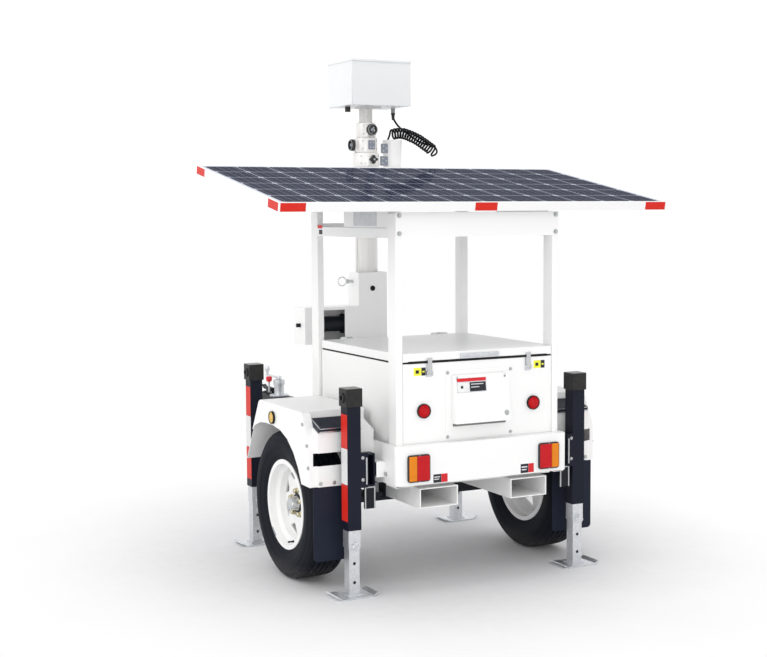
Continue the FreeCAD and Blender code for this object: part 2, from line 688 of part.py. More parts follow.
def clamp_collar(r_in, r_out, z0, z1):
    s = rev_z([(r_in, z0), (r_out - 3, z0), (r_out, z0 + 3), (r_out, z1 - 3), (r_out - 3, z1), (r_in, z1)], 0, MAST_Y)
    return s


def lug(ang, r0, r1, w, z0, z1):
    s = box(-w / 2, w / 2, -r1, -r0, z0, z1)
    s.rotate(V(0, 0, 0), V(0, 0, 1), ang)
    s.translate(V(0, MAST_Y, 0))
    return s


def radial_cyl(ang, r0, r1, z, rad):
    c = Part.makeCylinder(rad, r1 - r0, V(0, -r0, z), V(0, -1, 0))
    c.rotate(V(0, 0, 0), V(0, 0, 1), ang)
    c.translate(V(0, MAST_Y, 0))
    return c


def mast_sections():
    w = MAST_WALL
    t1 = rev_z([(R1 - w, 655.0), (R1, 655.0), (R1, Z_C1), (R1 - w, Z_C1)], 0, MAST_Y)
    c1 = clamp_collar(R2 + 0.6, 66.0, Z_C1, Z_C2 - 0.5)
    t1 = t1.fuse(c1)
    t1 = t1.fuse(lug(0, 58, 74, 36, Z_C1 + 6, Z_C2 - 8))
    # bushings for the pivot pin, and the lock hole
    for sx in (-1, 1):
        a, b = sorted((sx * 30.0, sx * (R1 + 14)))
        bush = cylx(a, b, MAST_Y, MAST_PIVOT_Z, 20.0).cut(cylz(0, MAST_Y, 600, 760, R1 - 2.0))
        t1 = t1.fuse(bush)
    t1 = t1.cut(cylx(-100, 100, MAST_Y, MAST_PIVOT_Z, 12.05))
    t1 = t1.cut(cylx(-70, -40, MAST_Y, MAST_LOCK_Z, 9.0))
    t1 = t1.cut(radial_cyl(0, 45, 90, (Z_C1 + Z_C2) / 2, 5.05))
    t2 = rev_z([(R2 - w, 720.0), (R2, 720.0), (R2, Z_C2), (R2 - w, Z_C2)], 0, MAST_Y)
    t2 = t2.fuse(clamp_collar(R3 + 0.6, 58.0, Z_C2, Z_C3 - 0.5))
    t2 = t2.fuse(lug(-90, 50, 66, 32, Z_C2 + 6, Z_C3 - 8))
    t2 = t2.cut(radial_cyl(-90, 40, 90, (Z_C2 + Z_C3) / 2, 5.05))
    t3 = rev_z([(R3 - w, 740.0), (R3, 740.0), (R3, Z_C3), (R3 - w, Z_C3)], 0, MAST_Y)
    t3 = t3.fuse(clamp_collar(R4 + 0.6, 50.0, Z_C3, Z_C3T))
    t3 = t3.fuse(lug(0, 42, 58, 32, Z_C3 + 6, Z_C3T - 8))
    t3 = t3.cut(radial_cyl(0, 34, 80, (Z_C3 + Z_C3T) / 2, 5.05))
    t4 = rev_z([(R4 - w, 760.0), (R4, 760.0), (R4, 2186.0), (R4 + 4, 2186.0), (R4 + 4, HEAD_Z0), (0.0, HEAD_Z0), (0.0, HEAD_Z0 - 4), (R4 - w, HEAD_Z0 - 4)], 0, MAST_Y)
    t4 = t4.fuse(box(-38.0, 66.0, MAST_Y - 46, MAST_Y + 46, 2188.0, HEAD_Z0).cut(cylz(0, MAST_Y, 2180.0, 2200.0, R4 + 2))).removeSplitter()
    return t1.removeSplitter(), t2.removeSplitter(), t3.removeSplitter(), t4


m1, m2, m3, m4 = mast_sections()
add("mast_tube_1", m1)
add("mast_tube_2", m2)
add("mast_tube_3", m3)
add("mast_tube_4", m4)


def knob(ang, r0, z, lobes, rad):
    stud = Part.makeCylinder(5.0, 26.5, V(0, -r0 - 5.5, z), V(0, -1, 0))
    pts = []
    n = lobes * 8
    for k in range(n):
        a = 2 * math.pi * k / n
        rr = rad * (0.88 + 0.12 * math.cos(lobes * a))
        pts.append((rr * math.cos(a), z + rr * math.sin(a)))
    head = prism(pts, "y", -r0 - 46, -r0 - 26)
    s = stud.fuse(head).removeSplitter()
    s.rotate(V(0, 0, 0), V(0, 0, 1), ang)
    s.translate(V(0, MAST_Y, 0))
    return s


add("collar_knob_1", knob(0, 52.0, (Z_C1 + Z_C2) / 2, 5, 22.0))
add("collar_knob_2", knob(-90, 44.0, (Z_C2 + Z_C3) / 2, 9, 29.0))
add("collar_knob_3", knob(0, 37.0, (Z_C3 + Z_C3T) / 2, 9, 29.0))


def lock_pin():
    x0 = -75.2
    s = cylx(-118.0, x0, MAST_Y, MAST_LOCK_Z, 8.0)
    s = s.fuse(cylx(-112.0, -106.0, MAST_Y, MAST_LOCK_Z, 13.0))
    ring = Part.makeTorus(22.0, 2.5, V(-140.0, MAST_Y, MAST_LOCK_Z), V(0, 1, 0))
    s = s.fuse(ring)
    return s.removeSplitter()


add("mast_lock_pin", lock_pin())


def winch_housing():
    x0, x1, y0, y1, z0, z1, t = -378.0, -80.0, 1047.0, 1180.0, 1010.0, 1194.0, 3.0
    s = box(x0, x1, y0, y1, z0, z1).cut(box(x0 + t, x1 - t, y0 + t, y1 - t, z0 + t, z1 - t))
    s = s.cut(box(-283.0, -158.0, y0 - 5, y0 + 5, 1029.0, 1178.0))
    s = s.cut(cylx(x0 - 5, x0 + 10, MAST_Y - 8, 1104.0, 10.05))
    s = s.cut(cylx(x1 - 10, x1 + 5, MAST_Y - 8, 1104.0, 12.0))
    return s


add("winch_housing", winch_housing())


def winch_drum():
    y, z = MAST_Y - 8, 1104.0
    s = cylx(-398.0, -76.0, y, z, 10.0)
    s = s.fuse([cylx(-300.0, -140.0, y, z, 30.0), cylx(-300.0, -294.0, y, z, 50.0), cylx(-146.0, -140.0, y, z, 50.0)])
    s = s.fuse(cylx(-294.0, -146.0, y, z, 38.0))
    s = s.fuse(cylx(-372.0, -330.0, y, z, 26.0))
    s = s.cut(box(-402.0, -384.0, y + 6.5, y + 20, z - 20, z + 20)).cut(box(-402.0, -384.0, y - 20, y - 6.5, z - 20, z + 20))
    return s.removeSplitter()


add("winch_drum", winch_drum())


GLAND = (168.0, 1137.0)
VENT = (-105.0, 1105.0)


def head_box():
    x, d = HEAD_W / 2, HEAD_D / 2
    y0, y1 = MAST_Y - d, MAST_Y + d
    body = box(-x + 4, x - 4, y0 + 4, y1 - 4, HEAD_Z0, HEAD_Z1 - 3)
    ed = [e for e in body.Edges if abs(e.BoundBox.ZLength - (HEAD_Z1 - 3 - HEAD_Z0)) < 0.1]
    body = body.makeFillet(6.0, ed)
    cap = box(-x, x, y0, y1, HEAD_Z1 - 14, HEAD_Z1)
    ed = [e for e in cap.Edges if abs(e.BoundBox.ZLength - 14.0) < 0.1 or e.BoundBox.ZMin > HEAD_Z1 - 0.1]
    cap = cap.makeFillet(5.0, ed)
    s = body.fuse(cap).removeSplitter()
    s = s.cut(box(-x + 7, x - 7, y0 + 7, y1 - 7, HEAD_Z0 + 3, HEAD_Z1 - 3))
    s.translate(V(HEAD_X, 0, 0))
    vent = cylz(VENT[0], VENT[1], HEAD_Z0 - 28.0, HEAD_Z0, 14.0)
    gland = cylz(GLAND[0], GLAND[1], HEAD_Z0 - 26.0, HEAD_Z0, 11.0)
    return group([s, vent, gland])


add("head_box", head_box())


def funnel():
    z0, z1 = FUNNEL_Z0, FUNNEL_Z1
    s = rev_z([(0, z0), (44.0, z0), (44.0, z1 - 216), (50.0, z1), (47.0, z1), (41.0, z1 - 216), (41.0, z0 + 4), (0, z0 + 4)], FUNNEL_X, MAST_Y)
    # seat at mid height holds the lower end of the cord
    s = s.fuse(cylz(FUNNEL_X, MAST_Y, 1900.0, 1906.0, 44.8))
    # lower plate ties the funnel to the outer tube's collar, upper plate is a guide
    low = box(67.0, 112.0, MAST_Y - 27, MAST_Y - 23, 1900.0, 1950.0).fuse(box(66.04, 108.0, MAST_Y - 24, MAST_Y + 20, 1905.0, 1909.0))
    up = box(72.0, 112.0, MAST_Y - 27, MAST_Y - 23, 1963.0, 2013.0)
    return s.fuse([low, up]).removeSplitter()


add("cable_funnel", funnel())

# ------------------------------------------------------------ curly cord ---
CORD_D = 10.0
COIL_D = 56.0


def routed(points, rad):
    """Tube along straight runs joined by tangent arcs; each arc's radius is
    0.45 of the shorter run over tan of half the turn."""
    P = [V(*p) for p in points]
    edges = []
    last = P[0]
    length = 0.0
    radii = []
    for k in range(1, len(P) - 1):
        a, b, c = P[k - 1], P[k], P[k + 1]
        u = (b - a).normalize()
        w = (c - b).normalize()
        turn = math.acos(max(-1, min(1, u.dot(w))))
        run = min((b - a).Length, (c - b).Length)
        tl = 0.45 * run
        r = tl / math.tan(turn / 2)
        radii.append(round(r, 1))
        p1 = b - u * tl
        p2 = b + w * tl
        bis = (w - u).normalize()
        cen = b + bis * (r / math.cos(turn / 2))
        mid = cen - bis * r
        if (p1 - last).Length > 1e-6:
            edges.append(Part.LineSegment(last, p1).toShape())
            length += (p1 - last).Length
        edges.append(Part.Arc(p1, mid, p2).toShape())
        length += r * turn
        last = p2
    edges.append(Part.LineSegment(last, P[-1]).toShape())
    length += (P[-1] - last).Length
    wire = Part.Wire(edges)
    d = (P[1] - P[0]).normalize()
    circ = Part.Wire([Part.Circle(P[0], d, rad).toShape()])
    s = wire.makePipeShell([circ], True, True)
    print("  radii", radii, "length %.1f" % length, "volume ratio %.4f" % (s.Volume / (math.pi * rad * rad * length)), s.isValid())
    return s


# coil axis, from over the funnel mouth to the free bight on the right
COIL = [(136, 1092, 2060), (164, 1091, 2065.5), (197, 1090, 2067), (243, 1090, 2055), (301, 1091, 2028.5),
        (340, 1092, 2005), (372, 1093, 1983)]
# lead from the gland, behind the coil, round into its far end
LEAD_A = [(168, 1137, 2170), (168, 1137, 2151), (176, 1137, 2132.5), (189, 1137, 2115), (207, 1137, 2097.5),
        (231, 1137.5, 2081), (262, 1138, 2062), (296, 1138, 2041), (330, 1137.5, 2023), (362, 1137, 2014),
        (390.5, 1136.38, 2011.89), (404.51, 1136.81, 2002.26), (413.25, 1131.38, 1988.73), (414.38, 1121.54, 1974.91),
        (407.6, 1109.91, 1964.52), (394.72, 1099.63, 1960.34), (379.21, 1093.44, 1963.48), (365.25, 1093, 1973.08)]
# short lead from the coil down into the funnel's seat
LEAD_B = [(137.69, 1097.99, 2052.18), (125, 1098.45, 2049.69), (112.5, 1104, 2038), (111.5, 1109, 2020),
        (118, 1113.5, 2001), (130, 1115.5, 1980), (141, 1116, 1957), (150, 1115, 1933), (150, 1115, 1906)]
print("coil")
coil = routed(COIL, COIL_D / 2)
print("lead a")
la = routed(LEAD_A, CORD_D / 2)
print("lead b")
lb = routed(LEAD_B, CORD_D / 2)
add("curly_cord_coil", coil)
add("curly_cord_leads", group([la, lb]))

# ------------------------------------------------------------------ jacks ---


def jack(x, y):
    """x > 0: jack on the right side; outrigger arm reaches inboard"""
    h = JACK_TUBE / 2
    tube = rect_tube(x - h, x + h, y - h, y + h, JACK_TUBE_Z0, JACK_TOP - JACK_HEAD_H, 3.0, "z")
    hh = JACK_HEAD / 2
    head = box(x - hh, x + hh, y - hh, y + hh, JACK_TOP - JACK_HEAD_H, JACK_TOP)
    ed = [e for e in head.Edges if abs(e.BoundBox.ZLength - JACK_HEAD_H) < 0.1 or e.BoundBox.ZMin > JACK_TOP - 0.1]
    head = head.makeFillet(4.0, ed)
    head = head.cut(box(x - h + 3, x + h - 3, y - h + 3, y + h - 3, JACK_TOP - JACK_HEAD_H - 1, JACK_TOP - 5))
    boss = cylx(x + hh - 1, x + hh + 7, y, JACK_TOP - 42.0, 21.0)
    s = tube.fuse([head, boss]).removeSplitter()
    s = s.cut(cylx(x + hh - 10, x + hh + 10, y, JACK_TOP - 42.0, 12.0))
    # bracket with the outrigger arm
    br = box(482.0, x - h, y - 27, y + 27, 480.0, 622.0)
    br = br.cut(box(488.0, x - h - 6, y - 40, y + 21, 486.0, 616.0))
    fl = box(x - h - 34, x - h, y - 32, y - 26, 476.0, 628.0)
    arm = rect_tube(20.0, 483.0, y - ARM / 2, y + ARM / 2, ARM_Z - ARM / 2, ARM_Z + ARM / 2, 4.0, "x")
    s = s.fuse([br, fl, arm]).removeSplitter()
    return s


def ram(x, y):
    r = 28.5
    t = 2.5
    inner = rect_tube(x - r, x + r, y - r, y + r, 213.0, 640.0, t, "z")
    inner = inner.cut(cyly(x, y - 40, y + 40, 236.0, 7.1))
    q = 25.0
    leg = rect_tube(x - q, x + q, y - q, y + q, 8.0, 420.0, t, "z")
    for z in (62.0, 146.0, 236.0, 320.0):
        leg = leg.cut(cyly(x, y - 40, y + 40, z, 7.1))
    # dished foot plate with turned-up edges
    foot = box(x - 78, x + 78, y - 70, y + 70, 0.0, 6.0)
    a = prism([(x + 78, 0.0), (x + 99, 12.0), (x + 96, 17.0), (x + 76, 6.0), (x + 76, 0.0)], "y", y - 60, y + 60)
    b = prism([(x - 78, 0.0), (x - 99, 12.0), (x - 96, 17.0), (x - 76, 6.0), (x - 76, 0.0)], "y", y - 60, y + 60)
    c = box(x - q - 10, x + q + 10, y - q - 10, y + q + 10, 5.0, 12.0)
    foot = foot.fuse([a, b, c]).removeSplitter().cut(box(x - q, x + q, y - q, y + q, 8.0, 20.0))
    pin = cyly(x, y - 46, y + 38, 236.0, 7.0)
    clip = Part.makeTorus(15.0, 2.0, V(x, y - 43.0, 221.0), V(0.35, 1, 0))
    pin = pin.fuse(clip).removeSplitter()
    return group([inner, leg, foot, pin])


for name, sx, y in (("lr", -1, JACK_YR), ("rr", 1, JACK_YR), ("lf", -1, JACK_YF), ("rf", 1, JACK_YF)):
    j, r_ = jack(JACK_X, y), ram(JACK_X, y)
    add("jack_%s_tube" % name, j if sx > 0 else mirror(j))
    add("jack_%s_ram" % name, r_ if sx > 0 else mirror(r_))

# ---------------------------------------------------------------- fasteners ---


def bolts():
    out = []
    for x in (-399.0, 399.0):
        for z in (1573.0, 1650.0):
            out.append(bolt_y(x, -4.0, z, 8.5))
    for x in (-162.0, 162.0):
        for z in (679.0, 962.0):
            out.append(bolt_y(x, 0.0, z, 6.0, 4.5))
    for sx in (-1, 1):
        for (y, z) in ((254.0, 744.0), (208.0, 656.0), (196.0, 560.0)):
            out.append(bolt_x(sx * 745.0, y, z, sx, 7.0, 5.0))
        for x in (632.0, 697.0):
            out.append(bolt_y(sx * x, BOX_Y, 490.0, 7.0, 5.0))
        out.append(bolt_x(sx * 438.0, 57.0, 530.0, sx, 8.0, 6.0))
    return group(out)


add("frame_bolts", bolts())

# ----------------------------------------------------------------- export ---
lo, hi = [1e9] * 3, [-1e9] * 3
for name, shape in parts.items():
    shape.translate(V(0, -Y_ORIGIN, 0))
    bb = shape.BoundBox
    for k, (a, b) in enumerate(((bb.XMin, bb.XMax), (bb.YMin, bb.YMax), (bb.ZMin, bb.ZMax))):
        lo[k], hi[k] = min(lo[k], a), max(hi[k], b)
    if not shape.isValid():
        print("INVALID", name)
    for sld in shape.Solids:
        if sld.Volume < 1:
            print("tiny solid in", name, sld.Volume)
    shape.exportStep("parts/%s.step" % name)
print(len(parts), "nodes; box", [round(v, 2) for v in lo], [round(v, 2) for v in hi])
for name, shape in parts.items():
    print("%-22s solids %2d  vol %.1f cm3" % (name, len(shape.Solids), shape.Volume / 1000.0))
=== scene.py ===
import bpy, bmesh, math
import numpy as np
from mathutils import Matrix, Vector


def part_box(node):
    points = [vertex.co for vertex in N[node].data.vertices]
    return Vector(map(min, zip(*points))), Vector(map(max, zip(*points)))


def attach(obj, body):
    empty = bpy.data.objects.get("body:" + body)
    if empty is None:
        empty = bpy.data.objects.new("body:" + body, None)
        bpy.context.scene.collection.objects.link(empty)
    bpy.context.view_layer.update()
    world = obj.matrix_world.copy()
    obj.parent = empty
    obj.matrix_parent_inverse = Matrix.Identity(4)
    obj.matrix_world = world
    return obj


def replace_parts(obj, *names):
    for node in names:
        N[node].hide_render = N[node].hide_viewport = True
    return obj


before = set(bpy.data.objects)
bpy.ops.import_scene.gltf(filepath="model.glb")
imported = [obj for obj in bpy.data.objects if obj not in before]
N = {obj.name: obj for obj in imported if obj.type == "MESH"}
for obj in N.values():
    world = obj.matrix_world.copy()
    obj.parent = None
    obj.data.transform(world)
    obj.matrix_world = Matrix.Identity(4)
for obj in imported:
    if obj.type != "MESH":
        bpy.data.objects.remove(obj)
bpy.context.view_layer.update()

Y0 = 1.2353          # work lengths below use Y from the rear posts' faces
PI = math.pi


# ------------------------------------------------------------ node helpers
class NT:
    """Small wrapper that makes node materials short to write."""

    def __init__(self, name):
        self.m = bpy.data.materials.new(name)
        self.m.use_nodes = True
        self.t = self.m.node_tree
        self.n = self.t.nodes
        self.b = self.n["Principled BSDF"]
        self.tc = self.n.new("ShaderNodeTexCoord")

    def link(self, a, b):
        self.t.links.new(a, b)

    def set(self, **kw):
        for k, v in kw.items():
            self.b.inputs[k.replace("_", " ")].default_value = v

    def noise(self, scale, detail=3.0, rough=0.5, coord="Object", vec=None, dist=0.0):
        x = self.n.new("ShaderNodeTexNoise")
        x.inputs["Scale"].default_value = scale
        x.inputs["Detail"].default_value = detail
        x.inputs["Roughness"].default_value = rough
        x.inputs["Distortion"].default_value = dist
        self.link(vec if vec is not None else self.tc.outputs[coord], x.inputs["Vector"])
        return x.outputs["Fac"]

    def wave(self, scale, axis="Z", dist=0.0, detail=2.0, dscale=1.0, vec=None, profile="SIN"):
        x = self.n.new("ShaderNodeTexWave")
        x.wave_type = "BANDS"
        x.bands_direction = axis
        x.wave_profile = profile
        x.inputs["Scale"].default_value = scale
        x.inputs["Distortion"].default_value = dist
        x.inputs["Detail"].default_value = detail
        x.inputs["Detail Scale"].default_value = dscale
        self.link(vec if vec is not None else self.tc.outputs["Object"], x.inputs["Vector"])
        return x.outputs["Fac"]

    def voronoi(self, scale, feature="F1", vec=None):
        x = self.n.new("ShaderNodeTexVoronoi")
        x.feature = feature
        x.inputs["Scale"].default_value = scale
        self.link(vec if vec is not None else self.tc.outputs["Object"], x.inputs["Vector"])
        return x.outputs["Distance"]

    def mapping(self, scale=(1, 1, 1), rot=(0, 0, 0), loc=(0, 0, 0), coord="Object"):
        x = self.n.new("ShaderNodeMapping")
        x.inputs["Scale"].default_value = scale
        x.inputs["Rotation"].default_value = rot
        x.inputs["Location"].default_value = loc
        self.link(self.tc.outputs[coord], x.inputs["Vector"])
        return x.outputs["Vector"]

    def ramp(self, fac, stops, interp="LINEAR"):
        x = self.n.new("ShaderNodeValToRGB")
        cr = x.color_ramp
        cr.interpolation = interp
        while len(cr.elements) < len(stops):
            cr.elements.new(0.5)
        for e, (p, c) in zip(cr.elements, stops):
            e.position = p
            e.color = (c[0], c[1], c[2], 1.0) if not isinstance(c, (int, float)) else (c, c, c, 1.0)
        self.link(fac, x.inputs["Fac"])
        return x.outputs["Color"]

    def math(self, op, a, b=None, c=None, clamp=False):
        x = self.n.new("ShaderNodeMath")
        x.operation = op
        x.use_clamp = clamp
        for i, v in enumerate((a, b, c)):
            if v is None:
                continue
            if isinstance(v, (int, float)):
                x.inputs[i].default_value = v
            else:
                self.link(v, x.inputs[i])
        return x.outputs[0]

    def mix(self, fac, a, b, mode="MIX"):
        x = self.n.new("ShaderNodeMix")
        x.data_type = "RGBA"
        x.blend_type = mode
        for sock, v in ((x.inputs["Factor"], fac), (x.inputs["A"], a), (x.inputs["B"], b)):
            if sock.name == "Factor":
                pass
            if isinstance(v, (int, float)) and sock.name == "Factor":
                sock.default_value = v
            elif isinstance(v, (tuple, list)):
                pass
        # colour sockets of a Mix node are inputs 6 and 7, its factor is input 0
        if isinstance(fac, (int, float)):
            x.inputs[0].default_value = fac
        else:
            self.link(fac, x.inputs[0])
        for i, v in ((6, a), (7, b)):
            if isinstance(v, (tuple, list)):
                x.inputs[i].default_value = (v[0], v[1], v[2], 1.0)
            else:
                self.link(v, x.inputs[i])
        return x.outputs[2]

    def sep(self, vec=None, coord="Object"):
        x = self.n.new("ShaderNodeSeparateXYZ")
        self.link(vec if vec is not None else self.tc.outputs[coord], x.inputs[0])
        return x.outputs

    def bump(self, height, strength=0.3, dist=0.001, normal=None):
        x = self.n.new("ShaderNodeBump")
        x.inputs["Strength"].default_value = strength
        x.inputs["Distance"].default_value = dist
        self.link(height, x.inputs["Height"])
        if normal is not None:
            self.link(normal, x.inputs["Normal"])
        self.link(x.outputs["Normal"], self.b.inputs["Normal"])
        return x.outputs["Normal"]

    def color(self, c):
        self.link(c, self.b.inputs["Base Color"])

    def rough(self, r):
        self.link(r, self.b.inputs["Roughness"])

    def maprange(self, v, a, b, c, d):
        x = self.n.new("ShaderNodeMapRange")
        for i, q in enumerate((a, b, c, d)):
            x.inputs[i + 1].default_value = q
        self.link(v, x.inputs[0])
        return x.outputs[0]

    def edge(self, width=0.004):
        """0 on flats, 1 on convex edges, from the bevel node's bent normal"""
        bv = self.n.new("ShaderNodeBevel")
        bv.samples = 4
        bv.inputs["Radius"].default_value = width
        g = self.n.new("ShaderNodeNewGeometry")
        d = self.n.new("ShaderNodeVectorMath")
        d.operation = "DOT_PRODUCT"
        self.link(bv.outputs[0], d.inputs[0])
        self.link(g.outputs["Normal"], d.inputs[1])
        return self.maprange(d.outputs["Value"], 0.97, 0.75, 0.0, 1.0)


def coat(name, base, rough=0.32, dirt=0.05, peel=0.12, wear=None, spec=0.5):
    """sprayed powder coat: orange-peel bump, faint mottling, and dust that gathers low down"""
    k = NT(name)
    big = k.noise(2.2, 4, 0.6)
    fine = k.noise(420, 2, 0.5)
    mid = k.noise(38, 5, 0.62)
    dark = tuple(c * (1 - dirt) for c in base)
    c = k.mix(k.maprange(big, 0.35, 0.7, 0, 1), base, dark)
    c = k.mix(k.maprange(mid, 0.60, 0.90, 0, 0.10), c, tuple(x * (1 - 1.6 * dirt) for x in base))
    z = k.sep()[2]
    low = k.math("MULTIPLY", k.maprange(z, 0.0, 0.75, 1.0, 0.0), k.maprange(mid, 0.4, 0.75, 0, 1))
    c = k.mix(k.math("MULTIPLY", low, 0.10), c, tuple(0.62 * x + 0.02 for x in base))
    if wear:
        c = k.mix(k.math("MULTIPLY", k.edge(0.002), k.maprange(k.noise(60, 4), 0.45, 0.7, 0, wear[1])), c, wear[0])
    k.color(c)
    k.rough(k.maprange(mid, 0.3, 0.8, rough - 0.03, rough + 0.05))
    k.set(Specular_IOR_Level=spec)
    k.bump(k.math("ADD", k.math("MULTIPLY", fine, 0.5), k.math("MULTIPLY", k.noise(150, 2), 0.5)), peel, 0.0006)
    return k.m


def zinc(name, base=(0.76, 0.78, 0.81), rough=0.34, spangle=True):
    """zinc plate or galvanising: cool metal with soft spangles and streaks"""
    k = NT(name)
    k.set(Metallic=0.92)
    v = k.voronoi(70 if spangle else 200)
    st = k.noise(14, 4, 0.6, vec=k.mapping(scale=(6, 6, 0.7)))
    c = k.mix(k.maprange(v, 0.05, 0.55, 0, 1), base, tuple(x * 0.86 for x in base))
    c = k.mix(k.maprange(st, 0.45, 0.75, 0, 0.45), c, tuple(x * 0.72 for x in base))
    c = k.mix(k.maprange(k.noise(30, 5, 0.7), 0.66, 0.85, 0, 0.22), c, (0.38, 0.37, 0.35))
    k.color(c)
    k.rough(k.maprange(v, 0.0, 0.6, rough - 0.05, rough + 0.08))
    k.bump(k.math("ADD", k.math("MULTIPLY", v, 0.4), k.noise(180, 3)), 0.06, 0.0005)
    return k.m


def rubber(name, base=(0.018, 0.019, 0.022), rough=0.72, dust=0.3, scale=260, bump=0.25):
    k = NT(name)
    g = k.noise(scale, 3, 0.55)
    d = k.noise(9, 5, 0.65)
    c = k.mix(k.math("MULTIPLY", k.maprange(d, 0.42, 0.75, 0, 1), dust), base, (0.07, 0.07, 0.072))
    k.color(c)
    k.rough(k.maprange(d, 0.3, 0.7, rough - 0.08, rough + 0.12))
    k.set(Specular_IOR_Level=0.22)
    k.bump(g, bump, 0.0008)
    return k.m


M = {}
M["white"] = coat("mat_white_coat", (0.835, 0.835, 0.832), 0.34, 0.015, 0.04)
# painted shade: a darker copy of the white coat for inner faces, with more of the coat's dirt mottling
M["white_in"] = coat("mat_white_inside", (0.70, 0.70, 0.68), 0.45, 0.08, 0.10)
M["alu_white"] = coat("mat_module_frame", (0.80, 0.80, 0.80), 0.34, 0.008, 0.008)
M["dark"] = coat("mat_blue_black_coat", (0.0065, 0.0085, 0.018), 0.40, 0.2, 0.12, wear=((0.05, 0.055, 0.065), 0.5), spec=0.14)
M["dark_head"] = coat("mat_jack_head", (0.018, 0.0175, 0.018), 0.45, 0.2, 0.12, wear=((0.14, 0.14, 0.135), 0.6), spec=0.22)
M["black"] = coat("mat_black_coat", (0.008, 0.010, 0.016), 0.42, 0.3, 0.14, wear=((0.07, 0.07, 0.08), 0.4), spec=0.2)
M["zinc"] = zinc("mat_zinc")
M["zinc_dark"] = zinc("mat_zinc_dull", (0.34, 0.37, 0.41), 0.42)
M["bolt"] = zinc("mat_bolt", (0.55, 0.57, 0.58), 0.28, False)
M["stainless"] = zinc("mat_stainless", (0.66, 0.67, 0.68), 0.24, False)
M["rubber"] = rubber("mat_rubber", (0.012, 0.016, 0.028), 0.62, 0.18)
M["seal"] = rubber("mat_seal", (0.010, 0.010, 0.011), 0.70, 0.12, 500, 0.2)
M["cord"] = rubber("mat_cord_jacket", (0.0035, 0.004, 0.006), 0.42, 0.02, 700, 0.12)
M["cord"].node_tree.nodes["Principled BSDF"].inputs["Specular IOR Level"].default_value = 0.12
M["flap"] = rubber("mat_mudflap", (0.006, 0.010, 0.024), 0.55, 0.06, 240, 0.22)
M["pad"] = rubber("mat_step_pad", (0.012, 0.016, 0.030), 0.34, 0.10, 420, 0.14)
M["plastic"] = rubber("mat_moulded_plastic", (0.030, 0.031, 0.034), 0.48, 0.12, 900, 0.10)
M["case"] = rubber("mat_battery_case", (0.05, 0.05, 0.055), 0.5, 0.15, 600, 0.15)


def simple(name, base, rough=0.4, metal=0.0, var=0.12, scale=40, bump=0.08, bscale=300, coatw=0.0):
    k = NT(name)
    n = k.noise(scale, 4, 0.6)
    k.color(k.mix(k.maprange(n, 0.35, 0.7, 0, 1), base, tuple(x * (1 - var) for x in base)))
    k.rough(k.maprange(n, 0.3, 0.75, max(0.05, rough - 0.06), rough + 0.08))
    k.set(Metallic=metal)
    k.set(Specular_IOR_Level=0.5 if metal > 0.5 else 0.25)
    if coatw:
        k.set(Coat_Weight=coatw)
    k.bump(k.noise(bscale, 2), bump, 0.0005)
    return k.m


def lens(name, base, ribs=260.0):
    """moulded lamp lens: fine prism grid under a glossy skin"""
    k = NT(name)
    x, y, z = k.sep()
    gx = k.math("SINE", k.math("MULTIPLY", x, ribs * 2))
    gz = k.math("SINE", k.math("MULTIPLY", z, ribs * 2))
    g = k.math("MULTIPLY", gx, gz)
    n = k.noise(25, 3)
    c = k.mix(k.maprange(g, -1, 1, 0, 1), base, tuple(min(1, c * 0.62) for c in base))
    c = k.mix(k.maprange(n, 0.4, 0.7, 0, 0.25), c, tuple(c * 0.5 for c in base))
    k.color(c)
    k.set(Specular_IOR_Level=0.22)
    k.b.inputs["Subsurface Weight"].default_value = 0.0
    k.rough(k.maprange(g, -1, 1, 0.16, 0.26))
    k.bump(g, 0.25, 0.0008)
    return k.m


M["red_lens"] = lens("mat_red_lens", (0.62, 0.006, 0.012))
M["amber_lens"] = lens("mat_amber_lens", (0.88, 0.27, 0.008))
M["yellow_lens"] = lens("mat_side_lens", (0.90, 0.62, 0.20))
M["knob_red"] = simple("mat_red_knob", (0.62, 0.015, 0.03), 0.3, coatw=0.3)
M["brass"] = simple("mat_brass_nut", (0.52, 0.47, 0.30), 0.3, 0.85, 0.25)
M["label_yellow"] = simple("mat_label_yellow", (0.86, 0.84, 0.06), 0.35)
M["label_black"] = simple("mat_label_black", (0.02, 0.022, 0.03), 0.35)
M["label_red"] = simple("mat_label_red", (0.62, 0.02, 0.028), 0.35)
M["label_white"] = simple("mat_label_white", (0.78, 0.78, 0.78), 0.35)
M["label_grey"] = simple("mat_label_grey", (0.62, 0.63, 0.66), 0.4)
M["hub_dark"] = simple("mat_hub_dark", (0.02, 0.022, 0.026), 0.45, 0.3)


def tape(name, base):
    """retroreflective tape: fine hexagonal cells under a clear film"""
    k = NT(name)
    v = k.voronoi(900)
    n = k.noise(20, 3)
    c = k.mix(k.maprange(v, 0.1, 0.5, 0, 1), base, tuple(x * 0.80 for x in base))
    c = k.mix(k.maprange(n, 0.45, 0.75, 0, 0.25), c, tuple(x * 0.85 + 0.03 for x in base))
    k.color(c)
    k.set(Specular_IOR_Level=0.2)
    k.rough(k.maprange(v, 0, 0.6, 0.26, 0.40))
    k.bump(v, 0.08, 0.0003)
    return k.m


M["tape_red"] = tape("mat_tape_red", (0.72, 0.022, 0.012))
M["tape_white"] = tape("mat_tape_white", (0.82, 0.82, 0.83))


